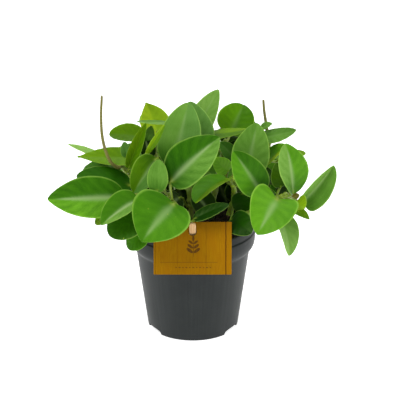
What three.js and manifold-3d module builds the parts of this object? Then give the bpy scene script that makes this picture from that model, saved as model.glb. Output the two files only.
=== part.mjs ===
// A potted peperomia: a black nursery pot, its soil, eleven leafy shoots with two flower spikes,
// and a label card held by a flat wooden peg. Millimetres, +Z up. The origin is at the middle of
// the pot's base, and -Y is the front, where the card leans.
import * as THREE from "three";
import { mergeVertices } from "three/addons/utils/BufferGeometryUtils.js";
import Module from "manifold-3d";

const wasm = await Module();
wasm.setup();

// ---------------------------------------------------------------- driving dimensions
const GAP = 0.3; // between two pieces that touch

// The pot's section as [radius, height] pairs, up the outside and then down the inside.
const PLATE = { under: 5, top: 6.4 }; // the raised base plate
const POT_OUTSIDE = [
  [0, PLATE.under],
  [41.6, PLATE.under],
  [42.4, 0], // the foot ring
  [44.2, 0],
  [45, 0.9],
  [55.6, 80.6], // the wall's top
  [56.6, 82.3],
  [59, 85.4], // the rim band
  [60.6, 89],
  [61.3, 93],
  [61.3, 100.4],
  [60.4, 101.4], // the collar
  [60.4, 108.6],
  [59.8, 109.4], // the lip
];
const POT_INSIDE = [
  [58.6, 109.1],
  [58.5, 89.4],
  [57.3, 86],
  [55, 82.5],
  [54.1, 80],
  [44.4, 8],
  [43, PLATE.top],
  [0, PLATE.top],
];
const POT_SIDES = 36;
const DRAIN = { count: 8, radius: 4, ring: 27, sides: 10 };
const NOTCH = { count: 3, width: 25, height: 4.7, depth: 14, ring: 44, firstAngle: -30, sides: 24 };
const SOIL = { radius: 58.5 - GAP, edgeHeight: 99.6, crown: 2.8, bump: 1.1, rings: [0.85, 0.6, 0.3] };
const STEM = { footRadius: 3.4, tipRadius: 2.3, steps: 8, sides: 8 };
const LEAF = { thickness: 1.2, petioleRadius: 1.3, rake: 45, reach: 0.38 };
const CARD = { width: 73, height: 49.4, thickness: 0.8, lean: 17.7, middleX: 0.1, topZ: 129 };
const HOLE = { radius: 3.75, drop: 9.3 }; // in the card, its centre below the top edge
const REST = { radius: 60.4 + GAP, height: 108.6 }; // where the card's back meets the rim
const PEG = { width: 6, thickness: 1.8, slope: 62.3, above: 12, below: 50 };
const ROUND_TOP = { ring: 0.6, rise: 0.7, end: 0.9 }; // of a rod's radius at its tip
const SPIKE = { rootRadius: 1.75, tipRadius: 1.05, sides: 8, steps: 9 };

// The direction that a leaf with no turn faces: the front, and this many degrees upwards.
const FACING_UP = 21;

const COLOURS = {
  bright: 0x5d9a33,
  mid: 0x3f7d2f,
  dark: 0x2c5a26,
  young: 0x9bbd4a,
};

// Each shoot's course, from its foot in the soil to its top node.
const SHOOTS = {
  right_low: [[35, 35, 74], [36, 36, 93], [37, 34, 104], [41, 24, 125], [38, 10, 149]],
  right_front: [[28, -4, 74], [30, -5, 93], [44, -10, 112], [68, -18, 132], [89, -25, 145]],
  left_middle: [[-23, 14, 74], [-25, 15, 93], [-38, 12, 115], [-55, 12, 142], [-70, 10, 163]],
  left_front: [[-28, -14, 74], [-30, -15, 93], [-38, -18, 112], [-47, -22, 130], [-55, -25, 146]],
  front: [[-10, -26, 74], [-10, -28, 93], [-14, -30, 112], [-18, -32, 130], [-22, -32, 148]],
  centre: [[0, 2, 74], [0, 2, 93], [-2, 3, 120], [-4, 4, 150], [-5, 5, 182]],
  back_right: [[14, 26, 74], [15, 27, 93], [20, 29, 120], [27, 31, 150], [32, 32, 180]],
  right_tall: [[43, 12, 74], [44, 13, 93], [52, 16, 118], [63, 20, 148], [74, 22, 181]],
  back_left: [[-21, 32, 74], [-22, 33, 93], [-28, 33, 120], [-35, 33, 150], [-40, 32, 181]],
  rear_left: [[-7, 42, 74], [-8, 44, 93], [-14, 52, 115], [-22, 62, 140], [-30, 70, 165]],
  rear_right: [[11, 44, 74], [12, 45, 93], [16, 51, 113], [28, 66, 138], [40, 75, 160]],
};

// The leaves: name, shoot, share of the shoot's length where the petiole starts, blade base,
// blade tip, width, turn, arch, fold, twist, lobe, point and tone. Turn is in degrees about the
// midrib, away from the facing direction. Arch lifts the middle of the midrib, fold raises both
// halves into a V, twist winds the blade from base to tip, lobe is how far a heart's ears reach
// back, and point is 0.5 for blunt ends and 0.8 for sharp ones.
const LEAVES = [
  ["front_heart", "front", 0.8, [-17, -60, 149], [-46, -86, 122], 62, 20, 3, 18, 0, 0.35, 0.7, "bright"],
  ["left_folded", "left_front", 0.9, [-51, -47, 148], [-84, -68, 131], 34, 38, 2, 28, 0, 0.4, 0.65, "mid"],
  ["far_left", "left_front", 0.95, [-66, -28, 144], [-135, -50, 150], 43, 18, -2, 10, 10, 0.2, 0.7, "bright"],
  ["left_dark", "left_front", 1, [-60, -2, 145], [-111, -12, 159], 31, 40, 3, 8, -10, 0.2, 0.6, "dark"],
  ["left_pale", "left_middle", 1, [-64, 12, 170], [-111, 4, 173], 22, 32, 0, 8, 0, 0.9, 1, "mid"],
  ["upper_left_round", "back_left", 0.98, [-50, 40, 182], [-82, 35, 186], 27, 130, 2, 8, 0, 0.2, 0.5, "mid"],
  ["left_upright", "left_middle", 0.9, [-61, -10, 167], [-44, -5, 210], 20, 0, 2, 52, 0, 0.2, 0.65, "mid"],
  ["centre_left", "front", 1, [-34, -28, 182], [-55, -44, 154], 30, 10, 3, 25, 0, 0.3, 0.6, "mid"],
  ["small_oval", "front", 0.98, [-33, -54, 159], [-31, -44, 187], 20, 0, 1, 12, 0, 0.2, 0.55, "mid"],
  ["centre_broad", "front", 0.95, [-20, -48, 166], [25, -42, 208], 44, -20, 3, 15, 0, 0.2, 0.66, "bright"],
  ["top_centre", "centre", 0.9, [-18, -18, 172], [-4, -8, 231], 41, 0, 4, 10, 8, 0.2, 0.6, "bright"],
  ["top_behind", "centre", 0.95, [10, 6, 180], [-3, 12, 226], 31, 0, 4, 12, 0, 0.2, 0.6, "mid"],
  ["crown", "centre", 1, [-1, 26, 184], [25, 35, 231], 26, -10, 2, 12, -14, 0.2, 0.65, "mid"],
  ["top_right_round", "back_right", 0.98, [37, 42, 184], [50, 64, 207], 38, 0, 2, 8, 0, 0.3, 0.5, "dark"],
  ["under_crown", "back_right", 0.9, [19, 22, 190], [52, 12, 198], 23, -64, -1, 0, 0, 0.7, 0.6, "young"],
  ["right_upright", "right_low", 0.97, [51, -14, 160], [61, -5, 210], 37, 0, 4, 10, -10, 0.2, 0.62, "bright"],
  ["right_curled", "right_low", 0.93, [64, -32, 150], [38, -38, 193], 32, 5, 4, 10, 0, 0.2, 0.6, "bright"],
  ["right_creased", "right_tall", 0.9, [71, 15, 161], [90, -10, 189], 21, -55, 1, 24, 0, 0.2, 0.65, "mid"],
  ["right_heart", "right_front", 0.9, [79, -45, 148], [60, -69, 122], 46, 6, 4, 12, 0, 1.0, 0.66, "bright"],
  ["right_oval", "right_front", 0.95, [94, -32, 149], [87, -27, 197], 35, 30, 3, 20, -56, 0.2, 0.6, "bright"],
  ["right_behind", "right_tall", 0.97, [67, 9, 191], [99, 7, 199], 19, -42, -1, 0, 0, 0.5, 0.6, "mid"],
  ["far_right", "right_front", 1, [106, -12, 133], [134, -15, 171], 34, 24, 2, 44, 0, 0.5, 0.5, "dark"],
  ["right_hanging", "right_front", 0.8, [75, -30, 132], [91, -60, 97], 37, -56, 5, 15, 8, 0.3, 0.62, "mid"],
  ["under_right", "right_low", 0.7, [36, -34, 123], [55, -58, 119], 27, -15, 3, 10, 0, 0.25, 0.45, "dark"],
  ["above_card", "front", 0.92, [2, -60, 134], [34, -56, 147], 16, -42, 1, 10, 0, 0.2, 0.6, "dark"],
  ["centre_low", "right_low", 1, [34, -15, 157], [3, -52, 147], 35, 60, 3, 20, 8, 0.2, 0.5, "mid"],
  ["centre_small", "right_low", 0.88, [34, 5, 158], [20, -9, 176], 18, 0, 1, 10, 0, 0.2, 0.6, "bright"],
  ["left_under", "left_front", 0.8, [-50, -49, 131], [-79, -55, 117], 34, 20, 3, 10, 0, 0.3, 0.5, "dark"],
  ["rim_left", "left_front", 0.65, [-43, -50, 114], [-62, -46, 100], 21, 20, 2, 10, 0, 0.3, 0.5, "mid"],
  ["edge_on", "back_left", 0.95, [-24, 15, 204], [-53, 5, 208], 22, 76, 0, 0, 0, 0.2, 0.6, "mid"],
  ["backlit", "back_left", 0.93, [-35, 43, 186], [-46, 48, 214], 31, 165, 3, 6, 0, 0.7, 0.95, "young"],
  ["rear_heart_left", "rear_left", 0.97, [-34, 74, 164], [-58, 85, 126], 44, 180, 4, 8, 12, 0.7, 0.62, "mid"],
  ["rear_heart_low", "rear_left", 0.85, [-20, 72, 142], [-14, 86, 94], 42, 180, 4, 8, -10, 0.6, 0.62, "mid"],
  ["rear_heart_right", "rear_right", 0.97, [46, 78, 160], [64, 86, 118], 46, 180, 4, 8, -9, 0.7, 0.6, "mid"],
  ["rear_low_right", "rear_right", 0.85, [30, 76, 138], [24, 86, 90], 40, 180, 4, 8, 14, 0.5, 0.62, "mid"],
  ["rear_top_left", "rear_left", 1, [-24, 70, 170], [4, 86, 180], 36, -120, 3, 8, 0, 0.3, 0.6, "mid"],
  ["rear_top_right", "rear_right", 1, [46, 66, 176], [68, 76, 173], 28, -130, 3, 8, 0, 0.3, 0.6, "mid"],
  ["rear_far_left", "rear_left", 0.9, [-38, 64, 156], [-86, 66, 150], 38, 110, 3, 8, 12, 0.3, 0.6, "bright"],
  ["rear_far_right", "rear_right", 0.9, [50, 68, 154], [94, 62, 150], 38, -110, 3, 8, -9, 0.3, 0.6, "bright"],
  ["back_low_left", "left_middle", 0.7, [-50, 40, 146], [-94, 48, 126], 40, 150, 3, 8, -10, 0.3, 0.6, "mid"],
  ["back_low_right", "right_tall", 0.6, [62, 46, 146], [100, 50, 126], 38, -150, 3, 8, 12, 0.3, 0.6, "mid"],
  ["back_upper_left", "back_left", 0.9, [-46, 50, 182], [-38, 78, 180], 34, 0, 3, 8, 8, 0.3, 0.6, "bright"],
  ["back_upper_right", "back_right", 0.93, [36, 45, 171], [40, 68, 181], 30, 0, 3, 8, -8, 0.3, 0.6, "mid"],
];

// The small young and inner leaves, each part of the shoot that it grows on. Same columns.
const YOUNG_LEAVES = [
  ["left_grey_tip", "left_middle", 0.93, [-70, 17, 159], [-107, 15, 155], 26, 50, 1, 8, 0, 0.2, 0.55, "mid"],
  ["left_pale_tip", "left_middle", 1, [-79, 22, 160], [-122, 30, 177], 14, 60, 1, 8, 0, 0.2, 0.7, "young"],
  ["left_narrow", "left_front", 1, [-43, -24, 186], [-26, -27, 215], 7, 20, 0, 15, 0, 0.2, 0.6, "young"],
  ["left_yellow", "left_front", 0.85, [-68, -26, 134], [-93, -30, 117], 20, 40, 1, 8, 0, 0.3, 0.5, "young"],
  ["back_left_bud", "left_middle", 0.85, [-63, -5, 176], [-65, -5, 191], 10, 0, 1, 8, 0, 0.2, 0.5, "mid"],
  ["back_left_pair", "back_left", 0.97, [-46, 24, 181], [-40, 20, 199], 12, 20, 1, 8, 0, 0.2, 0.6, "mid"],
  ["right_bud", "right_front", 0.99, [99, -37, 143], [105, -48, 140], 17, 0, 1, 20, 0, 0.4, 0.5, "young"],
  ["right_brown", "right_front", 0.85, [92, -28, 133], [110, -40, 126], 12, -40, 1, 15, 0, 0.2, 0.6, "dark"],
  ["right_stipule", "right_front", 0.94, [90, -7, 134], [103, -5, 137], 10, -20, 1, 8, 0, 0.2, 0.6, "young"],
  ["right_shade", "right_front", 0.9, [84, -12, 148], [80, -10, 172], 20, 20, 2, 8, 0, 0.2, 0.6, "dark"],
  ["right_top_tip", "right_tall", 1, [66, 16, 198], [76, 12, 204], 8, -30, 1, 8, 0, 0.2, 0.6, "mid"],
  ["right_back_tip", "right_tall", 0.85, [84, 24, 163], [110, 20, 171], 16, -50, 1, 8, 0, 0.2, 0.5, "young"],
  ["right_inner_shade", "right_tall", 0.75, [70, 4, 146], [64, -4, 168], 22, 0, 2, 8, 0, 0.2, 0.6, "dark"],
  ["right_low_shade", "right_low", 0.98, [39, 10, 171], [26, 4, 188], 15, 10, 1, 8, 0, 0.2, 0.6, "mid"],
  ["right_low_edge", "right_low", 0.62, [49, 6, 135], [49, 2, 115], 24, 0, 2, 8, 0, 0.3, 0.5, "dark"],
  ["inner_centre", "centre", 0.5, [2, -6, 138], [20, -8, 114], 28, -30, 2, 8, 0, 0.3, 0.6, "dark"],
  ["inner_centre_left", "centre", 0.45, [-12, -4, 134], [-32, -8, 118], 30, 30, 2, 8, 0, 0.3, 0.6, "dark"],
  ["inner_back_right", "back_right", 0.5, [26, 38, 134], [33, 44, 112], 34, 10, 2, 8, 0, 0.3, 0.6, "dark"],
  ["inner_right", "right_tall", 0.45, [62, 25, 131], [76, 35, 108], 32, 10, 2, 8, 0, 0.3, 0.6, "dark"],
  ["inner_back_left", "back_left", 0.5, [-30, 42, 134], [-40, 46, 112], 34, -10, 2, 8, 0, 0.3, 0.6, "dark"],
  ["inner_left", "left_middle", 0.5, [-44, 20, 131], [-66, 26, 115], 32, -10, 2, 8, 0, 0.3, 0.6, "dark"],
  ["inner_right_low", "right_tall", 0.65, [72, 28, 142], [84, 32, 112], 40, 0, 2, 8, 0, 0.3, 0.6, "dark"],
  ["inner_mid_right", "right_low", 0.75, [42, 28, 140], [49, 38, 114], 30, 0, 2, 8, 0, 0.3, 0.6, "dark"],
  ["inner_front", "centre", 0.6, [-14, 16, 136], [-8, 22, 108], 34, 0, 2, 8, 0, 0.3, 0.6, "dark"],
  ["inner_left_front", "left_front", 0.7, [-48, -4, 138], [-58, 4, 114], 32, 0, 2, 8, 0, 0.3, 0.6, "dark"],
  ["inner_top_back", "centre", 0.8, [2, 24, 166], [4, 54, 170], 36, 0, 3, 8, 0, 0.3, 0.6, "mid"],
  ["right_side_upper", "right_tall", 0.7, [84, 14, 150], [98, 20, 116], 32, -100, 3, 8, 0, 0.4, 0.6, "mid"],
  ["right_side_lower", "right_tall", 0.55, [76, 8, 138], [88, 12, 104], 32, -90, 3, 8, 0, 0.4, 0.6, "mid"],
  ["left_side_upper", "left_middle", 0.75, [-80, 14, 138], [-92, 20, 104], 32, 100, 3, 8, 0, 0.4, 0.6, "mid"],
  ["left_side_lower", "left_middle", 0.5, [-60, 32, 120], [-70, 40, 92], 30, 100, 3, 8, 0, 0.4, 0.6, "mid"],
  ["inner_top_left", "back_left", 0.8, [-28, 22, 168], [-14, -2, 158], 34, -10, 3, 8, 0, 0.3, 0.6, "mid"],
  ["inner_top_right", "back_right", 0.8, [48, 30, 172], [57, 6, 164], 20, 10, 3, 8, 0, 0.3, 0.6, "mid"],
  ["inner_high_right", "back_right", 0.85, [40, 24, 162], [40, 20, 184], 24, 0, 3, 8, 0, 0.3, 0.6, "dark"],
  ["inner_high_left", "back_left", 0.9, [-42, 27, 166], [-48, 25, 191], 16, 0, 3, 8, 0, 0.3, 0.6, "dark"],
  ["inner_top_rear", "back_left", 0.75, [-30, 46, 164], [-10, 60, 160], 34, 0, 3, 8, 0, 0.3, 0.6, "mid"],
  ["rear_middle", "rear_left", 0.65, [2, 66, 132], [6, 78, 98], 36, 180, 3, 8, 0, 0.4, 0.6, "mid"],
  ["rear_upper", "rear_right", 0.97, [18, 72, 164], [6, 80, 140], 32, 180, 3, 8, 0, 0.4, 0.6, "bright"],
];

// The two flower spikes, from the shoot's node to the tip.
const SPIKES = {
  left_flower_spike: [
    [-68.7, 7.2, 163],
    [-72, -3, 165],
    [-78, -9, 172],
    [-83, -8, 184],
    [-86, -4, 197],
    [-87, 2, 214],
    [-86, 6, 234],
  ],
  right_flower_spike: [
    [73.3, 19.9, 184.3],
    [71, 22, 200],
    [69, 24, 213],
    [68, 25, 224],
  ],
};

// ---------------------------------------------------------------- solids
const radians = THREE.MathUtils.degToRad;
const vector = (p) => new THREE.Vector3(p[0], p[1], p[2]);
const facing = new THREE.Vector3(0, -1, 0).applyAxisAngle(new THREE.Vector3(1, 0, 0), -radians(FACING_UP));

// A closed surface through rings of the same number of points, each end closed by a fan.
function loft(rings, start, end) {
  const sides = rings[0].length;
  const points = [...rings.flat(), start, end];
  const startIndex = points.length - 2;
  const endIndex = points.length - 1;
  const lastRing = (rings.length - 1) * sides;
  const index = [];
  for (let j = 0; j < sides; j++) {
    const k = (j + 1) % sides;
    index.push(startIndex, k, j, endIndex, lastRing + j, lastRing + k);
    for (let a = 0; a < lastRing; a += sides)
      index.push(a + j, a + k, a + sides + k, a + j, a + sides + k, a + sides + j);
  }
  const geometry = new THREE.BufferGeometry().setFromPoints(points);
  geometry.setIndex(index);
  return geometry;
}

function solid(geometry) {
  const bare = new THREE.BufferGeometry().setAttribute("position", geometry.getAttribute("position"));
  bare.setIndex(geometry.index);
  const merged = mergeVertices(bare, 1e-3);
  return new wasm.Manifold(
    new wasm.Mesh({
      numProp: 3,
      vertProperties: merged.getAttribute("position").array,
      triVerts: new Uint32Array(merged.index.array),
    }),
  );
}

function geometryOf(body) {
  const mesh = body.getMesh();
  const geometry = new THREE.BufferGeometry();
  geometry.setAttribute("position", new THREE.BufferAttribute(mesh.vertProperties, 3));
  geometry.setIndex(new THREE.BufferAttribute(mesh.triVerts, 1));
  return geometry;
}

const plant = new THREE.Group();

function addPiece(name, geometry, colour, roughness = 0.5) {
  geometry.computeVertexNormals();
  const material = new THREE.MeshStandardMaterial({ color: colour, roughness, metalness: 0 });
  const mesh = new THREE.Mesh(geometry, material);
  mesh.name = name;
  plant.add(mesh);
  return mesh;
}

// ---------------------------------------------------------------- stems and spikes
// A round rod along a smooth course, its radius going from r0 to r1.
function rod(course, r0, r1, steps, sides) {
  const curve = new THREE.CatmullRomCurve3(course.map(vector));
  const frames = curve.computeFrenetFrames(steps, false);
  const ring = (i, radius, along) => {
    const centre = curve.getPointAt(i / steps).addScaledVector(frames.tangents[i], along);
    return Array.from({ length: sides }, (_, j) => {
      const angle = (2 * Math.PI * j) / sides;
      return centre
        .clone()
        .addScaledVector(frames.normals[i], radius * Math.cos(angle))
        .addScaledVector(frames.binormals[i], radius * Math.sin(angle));
    });
  };
  const rings = [];
  for (let i = 0; i <= steps; i++) rings.push(ring(i, THREE.MathUtils.lerp(r0, r1, i / steps), 0));
  rings.push(ring(steps, r1 * ROUND_TOP.ring, r1 * ROUND_TOP.rise));
  const start = curve.getPointAt(0);
  const end = curve.getPointAt(1).addScaledVector(frames.tangents[steps], r1 * ROUND_TOP.end);
  return loft(rings, start, end);
}

const shootCurves = Object.fromEntries(
  Object.entries(SHOOTS).map(([name, course]) => [name, new THREE.CatmullRomCurve3(course.map(vector))]),
);
const stemRadius = (share) => THREE.MathUtils.lerp(STEM.footRadius, STEM.tipRadius, share);

// ---------------------------------------------------------------- leaves
const STATIONS = [0.07, 0.22, 0.45, 0.7, 0.9]; // of the blade's length
const ACROSS = [[1, 0], [0.55, 1], [0, 1], [-0.55, 1], [-1, 0], [-0.55, -1], [0, -1], [0.55, -1]];
const PETIOLE_STEPS = 3;

const SOFT_FOLD = 0.25; // of the half width, rounding the bottom of a folded blade's V

// Half width along the blade, 1 at its widest, and how far back the ears of a heart reach.
const outline = (s, lobe, point) => Math.sin(Math.PI * s ** (0.85 - 0.2 * lobe)) ** point;
const earReach = (s) => s ** 0.5 * (1 - s) ** 2.5;

// The blade's base frame: along the midrib, its normal, and its side.
function bladeFrame(base, tip, turn) {
  const along = tip.clone().sub(base).normalize();
  const normal = facing.clone().addScaledVector(along, -facing.dot(along)).normalize();
  normal.applyAxisAngle(along, radians(turn));
  return { along, normal, side: normal.clone().cross(along) };
}

// A point of the blade: s runs from base to tip, a from edge to edge, t over the thickness.
function bladePoint(leaf, frame, s, a, t) {
  const { base, length, width, arch, fold, twist, lobe, point } = leaf;
  const half = Math.max(LEAF.petioleRadius, (width / 2) * outline(s, lobe, point));
  const y = half * a * Math.cos(fold);
  const rise = ((1 + SOFT_FOLD) * a * a) / (Math.abs(a) + SOFT_FOLD);
  const z = half * Math.sin(fold) * rise + (t * LEAF.thickness) / 2;
  const angle = twist * (s - 0.5);
  const x = length * s - lobe * length * Math.abs(a) ** 1.6 * earReach(s);
  const side = y * Math.cos(angle) - z * Math.sin(angle);
  const up = y * Math.sin(angle) + z * Math.cos(angle) + arch * 4 * s * (1 - s);
  return base
    .clone()
    .addScaledVector(frame.along, x)
    .addScaledVector(frame.side, side)
    .addScaledVector(frame.normal, up);
}

// The petiole's course, from the stem's surface to the blade's base, where it comes from behind.
function petioleCurve(leaf, frame, startInside) {
  const stem = shootCurves[leaf.shoot];
  const root = stem.getPointAt(leaf.share);
  const tangent = stem.getTangentAt(leaf.share);
  const out = leaf.base.clone().sub(root);
  out.addScaledVector(tangent, -out.dot(tangent)).normalize();
  const clearance = startInside ? -LEAF.petioleRadius : GAP;
  const start = root.clone().addScaledVector(out, stemRadius(leaf.share) + clearance);
  const reach = LEAF.reach * leaf.base.distanceTo(start);
  const arrive = frame.along.clone().multiplyScalar(leaf.length).addScaledVector(frame.normal, 4 * leaf.arch);
  arrive.normalize().multiplyScalar(Math.cos(radians(LEAF.rake)));
  arrive.addScaledVector(frame.normal, Math.sin(radians(LEAF.rake)));
  return new THREE.CubicBezierCurve3(
    start,
    start.clone().addScaledVector(out, reach),
    leaf.base.clone().addScaledVector(arrive, -reach),
    leaf.base,
  );
}

function leafOf(row) {
  const [name, shoot, share, base, tip, width, turn, arch, fold, twist, lobe, point, tone] = row;
  return {
    name,
    shoot,
    share,
    base: vector(base),
    tip: vector(tip),
    length: vector(base).distanceTo(vector(tip)),
    width,
    turn,
    arch,
    fold: radians(fold),
    twist: radians(twist),
    lobe,
    point,
    tone,
  };
}

function leafGeometry(leaf, startInside) {
  const frame = bladeFrame(leaf.base, leaf.tip, leaf.turn);
  const curve = petioleCurve(leaf, frame, startInside);
  const circle = (centre, normal, side) =>
    ACROSS.map((_, j) => {
      const angle = (2 * Math.PI * j) / ACROSS.length;
      return centre
        .clone()
        .addScaledVector(side, LEAF.petioleRadius * Math.cos(angle))
        .addScaledVector(normal, LEAF.petioleRadius * Math.sin(angle));
    });
  // Rings back from the blade to the stem, each turned as little as the course allows.
  const rings = [circle(leaf.base, frame.normal, frame.side)];
  let tangent = frame.along;
  const normal = frame.normal.clone();
  const side = frame.side.clone();
  for (let i = PETIOLE_STEPS - 1; i >= 0; i--) {
    const next = curve.getTangent(i / PETIOLE_STEPS);
    const bend = new THREE.Quaternion().setFromUnitVectors(tangent, next);
    normal.applyQuaternion(bend);
    side.applyQuaternion(bend);
    tangent = next;
    rings.unshift(circle(curve.getPoint(i / PETIOLE_STEPS), normal, side));
  }
  for (const s of STATIONS) rings.push(ACROSS.map(([a, t]) => bladePoint(leaf, frame, s, a, t)));
  return loft(rings, curve.getPoint(0), leaf.tip);
}

// ---------------------------------------------------------------- pot
function lathe(profile) {
  const points = profile.map(([r, z]) => new THREE.Vector2(r, z));
  return new THREE.LatheGeometry(points, POT_SIDES).rotateX(Math.PI / 2);
}

function potGeometry() {
  let pot = solid(lathe([...POT_OUTSIDE, ...POT_INSIDE]));
  const cut = (shape, angle, ring, height) => {
    shape.translate(ring * Math.cos(angle), ring * Math.sin(angle), height);
    pot = pot.subtract(solid(shape));
  };
  const plate = PLATE.top - PLATE.under;
  for (let i = 0; i < DRAIN.count; i++) {
    const hole = new THREE.CylinderGeometry(DRAIN.radius, DRAIN.radius, 3 * plate, DRAIN.sides);
    cut(hole.rotateX(Math.PI / 2), (2 * Math.PI * i) / DRAIN.count, DRAIN.ring, PLATE.under + plate / 2);
  }
  for (let i = 0; i < NOTCH.count; i++) {
    const angle = radians(NOTCH.firstAngle + (360 * i) / NOTCH.count);
    const arch = new THREE.CylinderGeometry(NOTCH.width / 2, NOTCH.width / 2, NOTCH.depth, NOTCH.sides);
    arch.scale(1, 1, (2 * NOTCH.height) / NOTCH.width).rotateZ(angle + Math.PI / 2);
    cut(arch, angle, NOTCH.ring, 0);
  }
  return geometryOf(pot);
}

// ---------------------------------------------------------------- soil
// A low mound with an uneven top, inside the pot's wall, with a pocket for each stem and the peg.
function soilGeometry(pockets) {
  const { radius, edgeHeight, crown, bump, rings } = SOIL;
  const wall = POT_INSIDE.slice(1).reverse(); // below the soil's edge
  const profile = [
    ...wall.map(([r, z]) => [Math.max(0, r - GAP), z + GAP]),
    [radius, edgeHeight],
    ...rings.map((share) => [radius * share, edgeHeight + crown * (1 - share)]),
    [0, edgeHeight + crown],
  ];
  const geometry = lathe(profile);
  const position = geometry.getAttribute("position");
  const unevenness = (x, y) => Math.sin(x * 0.31 + 1.7) * Math.cos(y * 0.27) + Math.sin((x - y) * 0.19);
  for (let i = 0; i < position.count; i++) {
    const x = position.getX(i);
    const y = position.getY(i);
    const fromEdge = Math.max(0, 1 - Math.hypot(x, y) / radius);
    if (position.getZ(i) <= edgeHeight || fromEdge === 0) continue;
    position.setZ(i, position.getZ(i) + bump * Math.min(1, 4 * fromEdge) * unevenness(x, y));
  }
  return geometryOf(pockets.reduce((left, pocket) => left.subtract(pocket), solid(geometry)));
}

// ---------------------------------------------------------------- label card and peg
// Both are built around the hole's centre: the card lies in its own XY plane, and the peg's
// length runs along its own Y axis.
function cardGeometry() {
  const { width, height, thickness } = CARD;
  const shape = new THREE.Shape();
  shape.moveTo(-width / 2, HOLE.drop - height);
  shape.lineTo(width / 2, HOLE.drop - height);
  shape.lineTo(width / 2, HOLE.drop);
  shape.lineTo(-width / 2, HOLE.drop);
  const hole = new THREE.Path();
  hole.absarc(0, 0, HOLE.radius, 0, 2 * Math.PI, true);
  shape.holes.push(hole);
  return new THREE.ExtrudeGeometry(shape, { depth: thickness, bevelEnabled: false, curveSegments: 10 });
}

// The peg, or with clearance the pocket that it makes in the soil.
function pegGeometry(clearance) {
  const { width, thickness, above, below } = PEG;
  const room = 2 * clearance;
  const geometry = new THREE.BoxGeometry(width + room, above + below + room, thickness + room);
  return geometry.translate(0, (above - below) / 2, 0);
}

// ---------------------------------------------------------------- assembly
addPiece("pot", potGeometry(), 0x3a3e3f, 0.45);

const lean = radians(CARD.lean);
const holeZ = CARD.topZ - HOLE.drop * Math.cos(lean);
const label = new THREE.Group();
label.position.set(CARD.middleX, (holeZ - REST.height) * Math.tan(lean) - REST.radius, holeZ);
plant.add(label);

const card = addPiece("label_card", cardGeometry(), 0xa8741f, 0.6);
card.rotation.x = Math.PI / 2 - lean;
label.add(card);

const peg = addPiece("label_peg", pegGeometry(0), 0xd9c59a, 0.7);
peg.rotation.x = radians(180 - PEG.slope);
label.add(peg);
label.updateMatrixWorld(true);

for (const [name, course] of Object.entries(SPIKES))
  addPiece(name, rod(course, SPIKE.rootRadius, SPIKE.tipRadius, SPIKE.steps, SPIKE.sides), 0x7d7a3a, 0.6);

const pockets = [];
for (const [name, course] of Object.entries(SHOOTS)) {
  const { footRadius, tipRadius, steps, sides } = STEM;
  pockets.push(solid(rod(course, footRadius + GAP, tipRadius + GAP, steps, sides)));
  let stem = solid(rod(course, footRadius, tipRadius, steps, sides));
  for (const row of YOUNG_LEAVES.filter((young) => young[1] === name))
    stem = stem.add(solid(leafGeometry(leafOf(row), true)));
  addPiece("stem_" + name, geometryOf(stem), 0x86a04a, 0.5);
}

pockets.push(solid(pegGeometry(GAP).applyMatrix4(peg.matrixWorld)));
addPiece("soil", soilGeometry(pockets), 0x1d1713, 0.95);

for (const row of LEAVES) {
  const leaf = leafOf(row);
  addPiece("leaf_" + leaf.name, leafGeometry(leaf, false), COLOURS[leaf.tone], 0.4);
}

export default plant;
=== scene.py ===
"""Looks of a potted peperomia: leaves, shoots, flower spikes, pot, soil, label card and peg.

The tables are in millimetres, in the part's own frame: +Z up, the origin in the middle of the
pot's base, and -Y at the front. Meshes are in metres.
"""
import math

import bmesh
import bpy
import numpy as np
from mathutils import Matrix, Vector, noise


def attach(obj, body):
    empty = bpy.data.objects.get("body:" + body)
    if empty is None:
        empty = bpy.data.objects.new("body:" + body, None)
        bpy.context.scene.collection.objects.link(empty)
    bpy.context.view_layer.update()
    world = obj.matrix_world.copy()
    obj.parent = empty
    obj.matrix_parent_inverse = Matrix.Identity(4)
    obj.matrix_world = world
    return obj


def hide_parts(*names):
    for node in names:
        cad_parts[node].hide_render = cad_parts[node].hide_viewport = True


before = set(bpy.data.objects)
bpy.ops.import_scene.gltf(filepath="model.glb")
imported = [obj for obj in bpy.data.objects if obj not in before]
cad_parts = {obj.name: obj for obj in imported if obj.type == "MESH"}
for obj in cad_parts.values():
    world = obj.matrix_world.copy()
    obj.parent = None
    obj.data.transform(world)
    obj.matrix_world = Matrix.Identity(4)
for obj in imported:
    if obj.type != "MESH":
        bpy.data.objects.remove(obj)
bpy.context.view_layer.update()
MM = 0.001

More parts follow.
